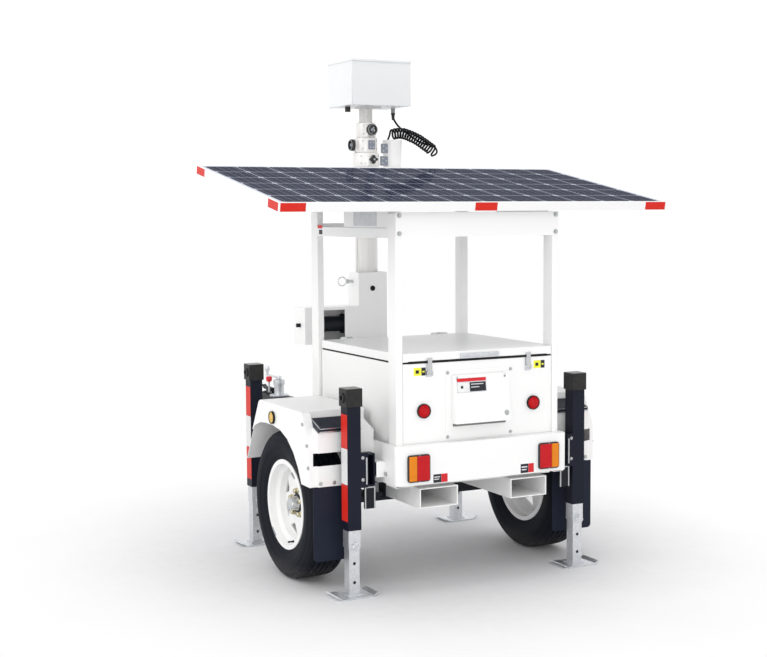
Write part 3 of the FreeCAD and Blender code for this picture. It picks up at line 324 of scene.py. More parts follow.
def cells():
    """mono cells 12 by 6 on a module 1.956 by 0.992 m: cropped corners, white gaps, busbars, glass"""
    k = NT("mat_solar_cells")
    x, y, z = k.sep()
    pitch = 0.1585
    tilt = math.radians(10.51)
    # distance up the tilted module from its rear top edge
    v = k.math("ADD", k.math("MULTIPLY", k.math("SUBTRACT", y, -0.0647 - Y0), math.cos(tilt)),
               k.math("MULTIPLY", k.math("SUBTRACT", z, 1.7064), math.sin(tilt)))
    ux = k.math("ADD", k.math("DIVIDE", x, pitch), 6.0)          # x is centred
    uy = k.math("ADD", k.math("DIVIDE", k.math("SUBTRACT", v, 0.496), pitch), 3.0)
    fx = k.math("ABSOLUTE", k.math("SUBTRACT", k.math("FRACT", ux), 0.5))
    fy = k.math("ABSOLUTE", k.math("SUBTRACT", k.math("FRACT", uy), 0.5))
    half = 0.4870
    inx = k.math("LESS_THAN", fx, half)
    iny = k.math("LESS_THAN", fy, half)
    corner = k.math("LESS_THAN", k.math("ADD", fx, fy), 0.895)
    inside = k.math("MULTIPLY", k.math("MULTIPLY", inx, iny), corner)
    okx = k.math("LESS_THAN", k.math("ABSOLUTE", k.math("SUBTRACT", ux, 6.0)), 6.0)
    oky = k.math("LESS_THAN", k.math("ABSOLUTE", k.math("SUBTRACT", uy, 3.0)), 3.0)
    inside = k.math("MULTIPLY", inside, k.math("MULTIPLY", okx, oky))
    # busbars run along the short side: four per cell, and hair-thin fingers across
    bb = k.math("ABSOLUTE", k.math("SUBTRACT", k.math("FRACT", k.math("MULTIPLY", k.math("FRACT", ux), 4.0)), 0.5))
    bus = k.math("LESS_THAN", bb, 0.018)
    fing = k.math("ABSOLUTE", k.math("SUBTRACT", k.math("FRACT", k.math("MULTIPLY", v, 560.0)), 0.5))
    fing = k.math("MULTIPLY", k.math("LESS_THAN", fing, 0.08), 0.16)
    tone = k.noise(3.1, 3, 0.5)
    cellc = k.mix(k.maprange(tone, 0.35, 0.7, 0, 1), (0.018, 0.021, 0.040), (0.027, 0.031, 0.055))
    cellc = k.mix(fing, cellc, (0.12, 0.13, 0.18))
    cellc = k.mix(k.math("MULTIPLY", bus, 0.55), cellc, (0.50, 0.52, 0.56))
    sheet = (0.46, 0.49, 0.56)
    k.color(k.mix(inside, sheet, cellc))
    dust = k.noise(7, 5, 0.65)
    k.rough(k.maprange(dust, 0.3, 0.8, 0.13, 0.22))
    k.set(Specular_IOR_Level=0.0, Coat_Weight=0.0)
    k.bump(k.math("ADD", k.math("MULTIPLY", inside, -0.3), k.math("MULTIPLY", k.noise(900, 2), 0.15)), 0.05, 0.0004)
    gl = k.n.new("ShaderNodeBsdfGlossy")
    gl.inputs["Color"].default_value = (0.95, 0.97, 1.0, 1)
    gl.inputs["Roughness"].default_value = 0.06
    mx = k.n.new("ShaderNodeMixShader")
    mx.inputs[0].default_value = 0.045
    k.link(k.b.outputs[0], mx.inputs[1])
    k.link(gl.outputs[0], mx.inputs[2])
    k.link(mx.outputs[0], k.n["Material Output"].inputs[0])
    return k.m


M["cells"] = cells()


M["leg_jack"] = zinc("mat_tongue_tube", (0.64, 0.66, 0.69), 0.36)



def head_mat():
    """white enclosure; the breather and the gland under it are moulded black and grey"""
    k = NT("mat_head")
    x, y, z = k.sep()
    under = k.math("LESS_THAN", z, 2.1950)
    left = k.math("LESS_THAN", x, 0.0)
    n = k.noise(30, 5, 0.6)
    white = k.mix(k.maprange(k.noise(2.2, 4, 0.6), 0.35, 0.7, 0, 1), (0.79, 0.80, 0.81), (0.76, 0.77, 0.78))
    white = k.mix(k.maprange(n, 0.62, 0.85, 0, 0.10), white, (0.70, 0.70, 0.70))
    fit = k.mix(left, (0.30, 0.30, 0.31), (0.003, 0.003, 0.004))
    k.color(k.mix(under, white, fit))
    k.rough(k.maprange(n, 0.3, 0.8, 0.28, 0.40))
    k.bump(k.math("ADD", k.noise(420, 2), k.math("MULTIPLY", k.noise(150, 2), 0.5)), 0.08, 0.0006)
    return k.m


M["head"] = head_mat()


def jack_mat():
    k = NT("mat_jack_tube")
    x, y, z = k.sep()
    f = k.maprange(z, 0.8310, 0.8322, 0, 1)
    mid = k.noise(38, 5, 0.62)
    big = k.noise(5, 4, 0.6)
    a = k.mix(k.maprange(big, 0.35, 0.7, 0, 1), (0.0065, 0.0085, 0.018), (0.0085, 0.011, 0.022))
    a = k.mix(k.math("MULTIPLY", k.edge(0.002), k.maprange(k.noise(60, 4), 0.45, 0.7, 0, 0.5)), a, (0.05, 0.055, 0.065))
    b = k.mix(k.maprange(mid, 0.4, 0.75, 0, 1), (0.022, 0.021, 0.021), (0.034, 0.033, 0.032))
    top = k.maprange(z, 0.9095, 0.9115, 0, 1)
    b = k.mix(k.math("MULTIPLY", top, 0.75), b, (0.30, 0.30, 0.295))
    k.color(k.mix(f, a, b))
    k.rough(k.maprange(mid, 0.3, 0.8, 0.36, 0.50))
    k.set(Specular_IOR_Level=0.15)
    k.bump(k.math("ADD", k.noise(420, 2), k.noise(150, 2)), 0.10, 0.0005)
    return k.m


M["jack"] = jack_mat()


def mast_mat(name, base, dark):
    """satin coat on drawn tube with faint lengthways draw lines and rub marks where sections slide"""
    k = NT(name)
    st = k.noise(9, 4, 0.6, vec=k.mapping(scale=(9, 9, 0.35)))
    n = k.noise(24, 5, 0.65)
    c = k.mix(k.maprange(st, 0.40, 0.72, 0, 0.6), base, dark)
    c = k.mix(k.maprange(n, 0.60, 0.8, 0, 0.3), c, tuple(x * 0.8 for x in dark))
    k.color(c)
    k.set(Metallic=0.15)
    k.rough(k.maprange(st, 0.3, 0.8, 0.26, 0.42))
    k.bump(k.math("ADD", k.math("MULTIPLY", st, 0.6), k.noise(300, 2)), 0.06, 0.0005)
    return k.m


M["mast_white"] = mast_mat("mat_mast_white", (0.80, 0.79, 0.77), (0.70, 0.69, 0.67))
M["mast_satin"] = mast_mat("mat_mast_satin", (0.68, 0.67, 0.65), (0.52, 0.50, 0.51))


def tyre_mat():
    k = NT("mat_tyre")
    d = k.noise(6, 5, 0.65)
    g = k.noise(350, 3, 0.6)
    c = k.mix(k.maprange(d, 0.35, 0.75, 0, 1), (0.0055, 0.0068, 0.012), (0.011, 0.012, 0.018))
    z = k.sep()[2]
    low = k.math("MULTIPLY", k.maprange(z, 0.0, 0.10, 0.7, 0.0), k.maprange(k.noise(60, 4), 0.3, 0.7, 0.3, 1))
    c = k.mix(low, c, (0.10, 0.095, 0.09))
    k.color(c)
    k.rough(k.maprange(d, 0.3, 0.8, 0.62, 0.85))
    k.set(Specular_IOR_Level=0.14)
    k.bump(g, 0.18, 0.0010)
    return k.m


M["tyre"] = tyre_mat()


# ------------------------------------------------------------ mesh helpers
def P(x, y, z):
    """millimetres from the rear posts' face to metres in the row frame"""
    return Vector((x / 1000.0, y / 1000.0 - Y0, z / 1000.0))


def put(name, bm, body, mats, smooth=30.0, replaces=(), matrix=None):
    me = bpy.data.meshes.new(name)
    bmesh.ops.recalc_face_normals(bm, faces=bm.faces)
    bm.to_mesh(me)
    bm.free()
    for m in (mats if isinstance(mats, (list, tuple)) else [mats]):
        me.materials.append(M[m] if isinstance(m, str) else m)
    if smooth:
        me.shade_smooth()
        me.set_sharp_from_angle(angle=math.radians(smooth))
    o = bpy.data.objects.new(name, me)
    bpy.context.scene.collection.objects.link(o)
    if matrix is not None:
        o.matrix_world = matrix
    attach(o, body)
    if replaces:
        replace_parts(o, *replaces)
    return o


def bev(o, w=0.0015, seg=2, angle=35):
    b = o.modifiers.new("bevel", "BEVEL")
    b.width = w
    b.segments = seg
    b.limit_method = "ANGLE"
    b.angle_limit = math.radians(angle)
    b.harden_normals = False
    return o


# ------------------------------------------------------------ camera
def camera():
    cam = bpy.data.cameras.new("cam")
    o = bpy.data.objects.new("cam", cam)
    bpy.context.scene.collection.objects.link(o)
    th, ph, ro = math.radians(27.06), 0.0828643, -0.0063291
    F = Vector((math.sin(th) * math.cos(ph), math.cos(th) * math.cos(ph), -math.sin(ph)))
    R0 = Vector((math.cos(th), -math.sin(th), 0))
    U0 = R0.cross(F)
    R = R0 * math.cos(ro) + U0 * math.sin(ro)
    U = U0 * math.cos(ro) - R0 * math.sin(ro)
    m = Matrix.Identity(4)
    for i in range(3):
        m[i][0], m[i][1], m[i][2] = R[i], U[i], -F[i]
    m[0][3], m[1][3], m[2][3] = -3.18027, -6.52994, 1.66442
    o.matrix_world = m
    cam.sensor_width = 36.0
    cam.lens = 65.68
    cam.clip_end = 200
    bpy.context.scene.camera = o


camera()


# ------------------------------------------------------------ cord
def nurbs(name, points, bevel=0.0, res=4):
    cu = bpy.data.curves.new(name, "CURVE")
    cu.dimensions = "3D"
    sp = cu.splines.new("NURBS")
    sp.points.add(len(points) - 1)
    for p, q in zip(sp.points, points):
        p.co = (q[0], q[1], q[2], 1.0)
    sp.order_u = 3
    sp.use_endpoint_u = True
    sp.resolution_u = res
    cu.resolution_u = res
    cu.bevel_depth = bevel
    cu.bevel_resolution = 4
    cu.use_fill_caps = bevel > 0
    return cu


def line_of(points, res=16):
    """points along the route's own NURBS, read from a curve with no bevel"""
    cu = nurbs("tmp_route", points, 0.0, res)
    o = bpy.data.objects.new("tmp_route", cu)
    bpy.context.scene.collection.objects.link(o)
    bpy.context.view_layer.update()
    me = bpy.data.meshes.new_from_object(o)
    pts = [v.co.copy() for v in me.vertices]
    bpy.data.objects.remove(o)
    bpy.data.meshes.remove(me)
    bpy.data.curves.remove(cu)
    return pts


def along(pts):
    s = [0.0]
    for a, b in zip(pts, pts[1:]):
        s.append(s[-1] + (b - a).length)
    return s


def at(pts, s, d):
    d = max(0.0, min(s[-1], d))
    i = 0
    while i < len(s) - 2 and s[i + 1] < d:
        i += 1
    f = (d - s[i]) / max(1e-9, s[i + 1] - s[i])
    return pts[i].lerp(pts[i + 1], f)


COIL = [P(136, 1092, 2060), P(164, 1091, 2065.5), P(197, 1090, 2067), P(243, 1090, 2055),
        P(301, 1091, 2028.5), P(340, 1092, 2005), P(372, 1093, 1983)]
LEAD_A = [P(168, 1137, 2170), P(168, 1137, 2151), P(176, 1137, 2132.5), P(189, 1137, 2115), P(207, 1137, 2097.5),
          P(231, 1137.5, 2081), P(262, 1138, 2062), P(296, 1138, 2041), P(330, 1137.5, 2023), P(362, 1137, 2014),
          P(388, 1136.5, 2012.5), P(407.5, 1135.5, 2005), P(419, 1131.5, 1992), P(419.5, 1124, 1977),
          P(409, 1116.5, 1966), P(392, 1108, 1958), P(375.5, 1097.5, 1954.5), P(364.5, 1087.5, 1955.5), P(359.8, 1079, 1961.3)]
LEAD_B = [P(131, 1114.5, 2044), P(123, 1115.3, 2029), P(118, 1115.5, 2012), P(120, 1115.5, 1994),
          P(129, 1115.5, 1976), P(139.5, 1115.7, 1957), P(148, 1115.3, 1934), P(150, 1115, 1906)]


def curly(turns=16.61, per=14, r_a=0.0275, r_b=0.0245):
    """helix round the coil's own axis, from its free right end back to the funnel end"""
    axis = line_of(list(reversed(COIL)))
    s = along(axis)
    total = s[-1]
    n = int(turns * per)
    up = Vector((0, 0, 1))
    out = []
    for i in range(n + 1):
        f = i / n
        dist = total * (0.004 + 0.99 * f)
        c = at(axis, s, dist)
        d = (at(axis, s, dist + 0.003) - at(axis, s, dist - 0.003)).normalized()
        side = d.cross(up).normalized()
        v = side.cross(d).normalized()
        r = r_a + (r_b - r_a) * min(1.0, f * 1.15)
        k = i / per
        if k < 0.5:
            r -= 0.0015 * (1 - 2 * k)
        if turns - k < 0.5:
            r -= 0.0025 * (1 - 2 * (turns - k))
        r *= 1.0 + 0.020 * math.sin(k * 5.3) + 0.012 * math.sin(k * 2.1 + 1)
        a = math.radians(-140) - 2 * PI * k
        out.append(c + side * (r * math.cos(a)) + v * (r * math.sin(a)))
    return out


route = LEAD_A + curly() + LEAD_B
cordc = nurbs("curly_cord", route, 0.005, 3)
cord = bpy.data.objects.new("curly_cord", cordc)
bpy.context.scene.collection.objects.link(cord)
cordc.materials.append(M["cord"])
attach(cord, "mast_top")
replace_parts(cord, "curly_cord_coil", "curly_cord_leads")
CORD_LENGTH = along(line_of(route, 6))[-1]
print("cord length", round(CORD_LENGTH, 4))


# ------------------------------------------------------------ CAD nodes: finish and eased edges
FINISH = {
    "frame_rails": ("white", 0.003), "frame_crossmembers": ("white", 0.003), "fork_pockets": ("white", 0.0025),
    "bumper_skirt": ("white", 0.0012), "drawbar_beams": ("white", 0.004), "coupler_body": ("black", 0.0015),
    "tongue_jack_tube": ("leg_jack", 0.0015), "axle_beam": ("black", 0.003), "leaf_springs": ("black", 0.001),
    "fenders": ("white", 0.0018), "step_pads": ("pad", 0.0015), "mudflaps": ("flap", 0.001),
    "tail_lights": ("plastic", 0), "marker_lamps": ("amber_lens", 0), "cabinet_body": ("white", 0.0015),
    "lid_seal": ("seal", 0.001), "cabinet_hardware": ("zinc", 0.0006), "rear_access_plate": ("white", 0.0008),
    "battery_bank": ("case", 0.003), "charge_controller": ("plastic", 0.002), "cabinet_posts": ("white", 0.0025),
    "upper_frame": ("white", 0.002), "panel_frame": ("alu_white", 0.0010), "panel_laminate": ("cells", 0),
    "mast_housing": ("white", 0.0015), "winch_housing": ("white", 0.0012), "frame_bolts": ("bolt", 0.0008),
    "cabinet_lid": ("white", 0.0020), "lid_handle": ("zinc", 0.001), "latch_lever_left": ("stainless", 0.0006),
    "latch_lever_right": ("stainless", 0.0006), "hatch_hood": ("white", 0.001), "mast_tube_1": ("mast_white", 0.0010),
    "cable_funnel": ("white", 0.0008), "mast_tube_2": ("mast_white", 0.0010), "mast_tube_3": ("mast_white", 0.0010),
    "mast_tube_4": ("mast_satin", 0.0010), "head_box": ("head", 0), "mast_lock_pin": ("stainless", 0.0006),
    "collar_knob_1": ("plastic", 0.001), "collar_knob_2": ("plastic", 0.001), "collar_knob_3": ("plastic", 0.001),
    "tyre_left": ("tyre", 0), "tyre_right": ("tyre", 0), "rim_left": ("white", 0.0008), "rim_right": ("white", 0.0008),
    "tongue_jack_ram": ("zinc", 0.0012), "tongue_jack_crank": ("zinc", 0.001), "coupler_lever": ("black", 0.001),
    "winch_drum": ("black", 0.001), "curly_cord_coil": ("cord", 0), "curly_cord_leads": ("cord", 0),
}
for k in ("lr", "rr", "lf", "rf"):
    FINISH["jack_%s_tube" % k] = ("jack", 0.0025)
    FINISH["jack_%s_ram" % k] = ("zinc", 0.0012)

for name, node in N.items():
    mat, w = FINISH[name]
    node.data.materials.clear()
    node.data.materials.append(M[mat])
    wd = node.modifiers.new("weld", "WELD")
    wd.merge_threshold = 0.00002
    if w:
        bev(node, w, 2, 40)

floor_h = min(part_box(n)[0][2] for n in ("tyre_left", "mudflaps", "jack_lr_ram"))


# ------------------------------------------------------------ stage, light
def stage():
    bm = bmesh.new()
    n = 48
    c = bm.verts.new((0, 0, -0.0004))
    prev = None
    for r in (1.5, 3.0, 5.0, 10.0, 60.0):
        ring = [bm.verts.new((r * math.cos(2 * PI * i / n), r * math.sin(2 * PI * i / n), -0.0004)) for i in range(n)]
        for i in range(n):
            j = (i + 1) % n
            if prev is None:
                bm.faces.new((c, ring[i], ring[j]))
            else:
                bm.faces.new((prev[i], ring[i], ring[j], prev[j]))
        prev = ring
    me = bpy.data.meshes.new("floor")
    bm.to_mesh(me)
    bm.free()
    o = bpy.data.objects.new("floor", me)
    bpy.context.scene.collection.objects.link(o)
    k = NT("mat_floor")
    n1 = k.noise(1.4, 5, 0.6)
    n2 = k.noise(16, 6, 0.7)
    col = k.mix(k.maprange(n1, 0.3, 0.7, 0, 1), (0.72, 0.72, 0.73), (0.67, 0.67, 0.685))
    col = k.mix(k.maprange(n2, 0.45, 0.7, 0, 0.30), col, (0.62, 0.62, 0.635))
    k.color(col)
    k.rough(k.maprange(n2, 0.3, 0.7, 0.6, 0.8))
    k.set(Specular_IOR_Level=0.25)
    k.bump(n2, 0.15, 0.001)
    # the floor fades into the white studio with distance from the object
    x, y, z = k.sep()
    d = k.math("SQRT", k.math("ADD", k.math("POWER", k.math("MULTIPLY", x, 0.80), 2.0), k.math("POWER", k.math("MULTIPLY", k.math("ADD", y, 0.35), 0.72), 2.0)))
    d = k.math("ADD", d, k.math("MULTIPLY", k.math("SUBTRACT", n1, 0.5), 0.5))
    f = k.n.new("ShaderNodeMapRange")
    f.interpolation_type = "SMOOTHSTEP"
    for i, q in enumerate((0.62, 1.60, 0.0, 1.0)):
        f.inputs[i + 1].default_value = q
    k.link(d, f.inputs[0])
    em = k.n.new("ShaderNodeEmission")
    em.inputs[0].default_value = (1, 1, 1, 1)
    em.inputs[1].default_value = 1.0
    mx = k.n.new("ShaderNodeMixShader")
    out = k.n["Material Output"]
    k.link(f.outputs[0], mx.inputs[0])
    k.link(k.b.outputs[0], mx.inputs[1])
    k.link(em.outputs[0], mx.inputs[2])
    k.link(mx.outputs[0], out.inputs[0])
    me.materials.append(k.m)
    w = bpy.data.worlds.new("studio")
    bpy.context.scene.world = w
    w.use_nodes = True
    bg = w.node_tree.nodes["Background"]
    bg.inputs[0].default_value = (1.0, 1.0, 1.0, 1)
    bg.inputs[1].default_value = 1.07

    def area(name, loc, target, size, power, color=(1, 1, 1)):
        li = bpy.data.lights.new(name, "AREA")
        li.shape = "RECTANGLE"
        li.size, li.size_y = size
        li.energy = power
        li.color = color
        o = bpy.data.objects.new(name, li)
        bpy.context.scene.collection.objects.link(o)
        o.location = loc
        o.rotation_mode = "QUATERNION"
        o.rotation_quaternion = (Vector(target) - Vector(loc)).to_track_quat("-Z", "Y")
        return o

    area("key", (-6.0, -1.5, 4.2), (0, -0.2, 0.9), (4, 4), 95, (1.0, 0.985, 0.965))
    area("fill", (-3.2, -8.0, 0.8), (0, -0.4, 0.9), (6, 3), 150)
    area("top", (0.4, -0.8, 6.5), (0, 0, 0.6), (4, 4), 70)


stage()

bpy.context.scene.view_settings.view_transform = "Standard"


# ------------------------------------------------------------ shapes
def V3(*a):
    return Vector(a)


def plate(name, c, u, v, w, h, t, r, body, mat, seg=5, bw=0.0004, replaces=()):
    """rounded plate: back face centred on c, standing out along u x v"""
    u, v = Vector(u).normalized(), Vector(v).normalized()
    n = u.cross(v).normalized()
    bm = bmesh.new()
    r = min(r, w / 2 - 1e-5, h / 2 - 1e-5)
    pts = []
    for cx, cy, a0 in ((w / 2 - r, h / 2 - r, 0), (-w / 2 + r, h / 2 - r, 90), (-w / 2 + r, -h / 2 + r, 180), (w / 2 - r, -h / 2 + r, 270)):
        for k in range(seg + 1):
            a = math.radians(a0 + 90 * k / seg)
            pts.append((cx + r * math.cos(a), cy + r * math.sin(a)))
    lo = [bm.verts.new(c + u * x + v * y) for x, y in pts]
    hi = [bm.verts.new(c + u * x + v * y + n * t) for x, y in pts]
    bm.faces.new(list(reversed(lo)))
    bm.faces.new(hi)
    for i in range(len(pts)):
        j = (i + 1) % len(pts)
        bm.faces.new((lo[i], lo[j], hi[j], hi[i]))
    o = put(name, bm, body, mat, 30, replaces)
    if bw:
        bev(o, bw, 2, 50)
    return o


X, Y, Z = V3(1, 0, 0), V3(0, 1, 0), V3(0, 0, 1)


def lathe_bm(bm, prof, c, axis, seg=48, closed=False, rad=None):
    """turn a profile of (distance along axis, radius) round axis through c"""
    axis = Vector(axis).normalized()
    a = axis.cross(Z if abs(axis.z) < 0.9 else X).normalized()
    b = axis.cross(a).normalized()
    rings = []
    for j in range(seg):
        t = 2 * PI * j / seg
        ring = []
        for i, (d, r) in enumerate(prof):
            rr = r if rad is None else rad(i, j, r)
            ring.append(bm.verts.new(c + axis * d + (a * math.cos(t) + b * math.sin(t)) * rr))
        rings.append(ring)
    m = len(prof)
    for j in range(seg):
        p, q = rings[j], rings[(j + 1) % seg]
        for i in range(m - 1 if not closed else m):
            k = (i + 1) % m
            bm.faces.new((p[i], p[k], q[k], q[i]))
    if not closed:
        bm.faces.new([r[0] for r in rings])
        bm.faces.new([r[-1] for r in reversed(rings)])
    return bm


def lathe(name, prof, c, axis, body, mat, seg=48, closed=False, smooth=35, replaces=(), rad=None):
    bm = bmesh.new()
    lathe_bm(bm, prof, c, axis, seg, closed, rad)
    bmesh.ops.remove_doubles(bm, verts=bm.verts, dist=1e-7)
    return put(name, bm, body, mat, smooth, replaces)


def block_bm(bm, c, u, v, n, w, h, t):
    """box with its centre at c, sides w along u, h along v, t along n"""
    vs = []
    for s3 in (-1, 1):
        for s1, s2 in ((-1, -1), (1, -1), (1, 1), (-1, 1)):
            vs.append(bm.verts.new(c + u * (s1 * w / 2) + v * (s2 * h / 2) + n * (s3 * t / 2)))
    for f in ((0, 3, 2, 1), (4, 5, 6, 7), (0, 1, 5, 4), (1, 2, 6, 5), (2, 3, 7, 6), (3, 0, 4, 7)):
        bm.faces.new([vs[i] for i in f])


def hexes(name, items, body, mat, af=0.0075, h=0.005, washer=0.0):
    """hexagon heads: items are (centre of the seat, outward axis); a washer under each when washer is given, a chamfer
    on each
    """
    bm = bmesh.new()
    for c, ax in items:
        ax = Vector(ax).normalized()
        a = ax.cross(Z if abs(ax.z) < 0.9 else X).normalized()
        b = ax.cross(a)
        if washer:
            lathe_bm(bm, [(0, washer * 0.98), (0.0012, washer), (0.0016, washer * 0.94)], c, ax, 24)
        rows = []
        for d, k in ((0.0014 if washer else 0, 1.0), (h * 0.82, 1.0), (h, 0.86)):
            rows.append([bm.verts.new(c + ax * d + (a * math.cos(PI / 3 * q) + b * math.sin(PI / 3 * q)) * af * k) for q in range(6)])
        bm.faces.new(list(reversed(rows[0])))
        bm.faces.new(rows[-1])
        for r0, r1 in zip(rows, rows[1:]):
            for q in range(6):
                bm.faces.new((r0[q], r0[(q + 1) % 6], r1[(q + 1) % 6], r1[q]))
    return put(name, bm, body, mat, 25)


# ------------------------------------------------------------ tyres
def tyre(name, sx, body):
    cx = 0.6355
    side = [(72.5, 190.5), (74.5, 196), (78, 204), (82, 213), (86, 223), (89.2, 228), (90.5, 229.5), (91.6, 233),
            (92.6, 236), (93.4, 240), (95.6, 247), (98.5, 257), (98.9, 258.2), (100.2, 259.0), (100.8, 262), (101.9, 270), (102.4, 277),
            (102.2, 285), (101.0, 293), (100.6, 294.2), (99.2, 295.0), (98.4, 300), (96.4, 308), (94.2, 315), (93.6, 316.5),
            (90.6, 319.0), (88.6, 323), (85.6, 328.6), (81, 332.6), (75, 335.2), (69, 336.6)]
    tread = []
    for g0, g1 in ((59, 53), (30, 22)):
        tread += [(g0, 337.8), (g0 - 0.8, 330.2), (g1 + 0.8, 330.2), (g1, 338.0)]
    mid = [(4.5, 338.0), (3.6, 330.6)]
    half = side + tread + mid
    prof = half + [(-a, r) for a, r in reversed(half)]
    prof += [(-66, 187.5), (66, 187.5)]
    pr = [(a / 1000.0 * 1.0, r / 1000.0) for a, r in prof]
    nseg = 216
    m = len(half)

    def rad(i, j, r):
        a = prof[i][0]
        if r < 0.3355 or i >= 2 * m:
            # a band of the side wall is singled out here but left plain: no ribs are cut
            if i < 2 * m and 0.2585 < r < 0.2945 and abs(a) > 99.5:
                return r
            return r
        if abs(a) > 61:                       # shoulder lugs
            return r - (0.0065 if j % 6 in (0, 1) else 0.0)
        if r > 0.3365 and abs(a) > 20 and (j + (2 if a > 0 else 5)) % 6 == 0:
            return r - 0.0048
        if r > 0.3365 and abs(a) < 20 and (j + 1) % 6 == 0:
            return r - 0.0035
        return r

    return lathe(name, pr, P(sx * 635.5, 525, 338), (sx, 0, 0), body, "tyre", nseg, True, 28, (name.replace("tread_", "tyre_"),), rad)


tyre("tread_left", -1, "wheel_left")
tyre("tread_right", 1, "wheel_right")


def wheel_trim(side, sx):
    body = "wheel_" + side
    n = V3(sx, 0, 0)
    # plated lug nuts over the studs
    items = []
    for k in range(5):
        a = math.radians(90 + 72 * k)
        items.append((P(sx * 655.3, 525 + 57.15 * math.cos(a), 338 + 57.15 * math.sin(a)), n))
    bm = bmesh.new()
    for c, ax in items:
        lathe_bm(bm, [(0, 0.0150), (0.003, 0.0150), (0.0052, 0.0128), (0.0166, 0.0124), (0.0192, 0.0095), (0.0192, 0.0066), (0.0160, 0.0066)], c, ax, 6)
    put("lug_nuts_" + side, bm, body, "brass", 20)
    # bearing cap with a rolled lip, and the black hub ring behind it
    lathe("hub_cap_" + side, [(0.0, 0.0335), (0.006, 0.0338), (0.009, 0.0315), (0.012, 0.0308), (0.036, 0.0300), (0.0405, 0.0275), (0.0422, 0.022), (0.0428, 0.0)],
          P(sx * 655.2, 525, 338), n, body, "stainless", 48)
    lathe("hub_ring_" + side, [(0.0, 0.0445), (0.0035, 0.0440), (0.0045, 0.0425), (0.0045, 0.0345), (0.0, 0.0345)],
          P(sx * 655.2, 525, 338), n, body, "hub_dark", 60, True)
    # valve stem on the dish
    a = math.radians(262)
    c = P(sx * 687, 525 + 172 * math.cos(a), 338 + 172 * math.sin(a))
    lathe("valve_" + side, [(0, 0.0060), (0.004, 0.0056), (0.010, 0.0040), (0.020, 0.0038), (0.0205, 0.0045), (0.028, 0.0045), (0.029, 0.0036)],
          c, n, body, "plastic", 18)
    # small clip-on balance weight on the rim flange
    bm = bmesh.new()
    for k in range(9):
        t = math.radians(304 + 1.6 * k)
        rr = 0.1985
        cc = P(sx * 718.0, 525, 338) + V3(0, math.cos(t), math.sin(t)) * rr
        tang = V3(0, -math.sin(t), math.cos(t))
        block_bm(bm, cc, tang, V3(0, math.cos(t), math.sin(t)), n, 0.0060, 0.007, 0.004)
    put("balance_weight_" + side, bm, body, "zinc_dark", 30)


wheel_trim("left", -1)
wheel_trim("right", 1)


# ------------------------------------------------------------ lamps
def round_lamp(name, c, n, r, mat, depth):
    """dark rubber rim, stepped lens with rings"""
    rim = [(0, r), (depth * 0.72, r), (depth * 0.92, r * 0.985), (depth * 0.96, r * 0.94), (depth * 0.80, r * 0.885), (depth * 0.5, r * 0.87), (0, r * 0.87)]
    o = lathe(name + "_rim", rim, c, n, "chassis", "seal", 56, True)
    prof = [(depth * 0.30, r * 0.868)]
    k = 9
    for i in range(k):
        f = 1 - i / k
        base = depth * (0.70 + 0.28 * (1 - f * f))
        prof += [(base, r * 0.868 * f), (base - 0.0007, r * 0.868 * (f - 0.03)), (base - 0.0007, r * 0.868 * (f - 0.07))]
    prof.append((depth * 0.985, 0.0))
    lathe(name + "_lens", prof, c, n, "chassis", mat, 56)
    return o


lamps = [round_lamp("rear_lamp_left", P(-282, 3, 802), (0, -1, 0), 0.032, "red_lens", 0.013),
         round_lamp("rear_lamp_right", P(282, 3, 802), (0, -1, 0), 0.032, "red_lens", 0.013),
         round_lamp("side_lamp_left", P(-745, 591, 732), (-1, 0, 0), 0.029, "yellow_lens", 0.012),
         round_lamp("side_lamp_right", P(745, 591, 732), (1, 0, 0), 0.029, "yellow_lens", 0.012)]
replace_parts(lamps[0], "marker_lamps")


def grid_lens(name, x0, x1, z0, z1, y, t, nx, nz, mat):
    """lens with a grid of domed cells standing out along -Y"""
    bm = bmesh.new()
    sub = 6
    NX, NZ = nx * sub, nz * sub
    rows = []
    for j in range(NZ + 1):
        row = []
        for i in range(NX + 1):
            u, v = (i / sub) % 1.0, (j / sub) % 1.0
            edge = min(i, NX - i, j, NZ - j)
            h = 0.0016 * (4 * u * (1 - u)) * (4 * v * (1 - v))
            base = t if edge > 0 else t * 0.55
            row.append(bm.verts.new(P(x0 + (x1 - x0) * i / NX, y, z0 + (z1 - z0) * j / NZ) + V3(0, -base / 1000.0 - h, 0)))
        rows.append(row)
    for j in range(NZ):
        for i in range(NX):
            bm.faces.new((rows[j][i], rows[j][i + 1], rows[j + 1][i + 1], rows[j + 1][i]))
    rim = [rows[0][i] for i in range(NX + 1)] + [rows[j][NX] for j in range(1, NZ + 1)] + \
          [rows[NZ][i] for i in range(NX - 1, -1, -1)] + [rows[j][0] for j in range(NZ - 1, 0, -1)]
    back = [bm.verts.new(Vector((q.co.x, P(0, y, 0).y, q.co.z))) for q in rim]
    for a in range(len(rim)):
        b = (a + 1) % len(rim)
        bm.faces.new((rim[a], back[a], back[b], rim[b]))
    bm.faces.new(back)
    return put(name, bm, "chassis", mat, 40)


def tail(side, sx):
    yb = -45.6
    xa, xb = sx * 280.0, sx * 389.0
    xc = (xa + xb) / 2
    o = plate("tail_bezel_" + side, P(xc, yb, 562.5), X, Z, 0.109, 0.119, 0.0115, 0.012, "chassis", "plastic", 6, 0.0025)
    inn, out = (xa + sx * 5, xa + sx * 66), (xa + sx * 67, xa + sx * 104)
    grid_lens("tail_red_" + side, min(inn), max(inn), 508.5, 616.5, yb - 11.0, 3.8, 4, 9, "red_lens")
    grid_lens("tail_amber_" + side, min(out), max(out), 508.5, 616.5, yb - 11.0, 3.8, 4, 9, "amber_lens")
    items = [(P(xc + sx * 0.0, yb - 11.4, z), (0, -1, 0)) for z in (506.2, 618.8)]
    hexes("tail_screws_" + side, items, "chassis", "bolt", 0.0026, 0.0016)
    return o


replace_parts(tail("left", -1), "tail_lights")
tail("right", 1)


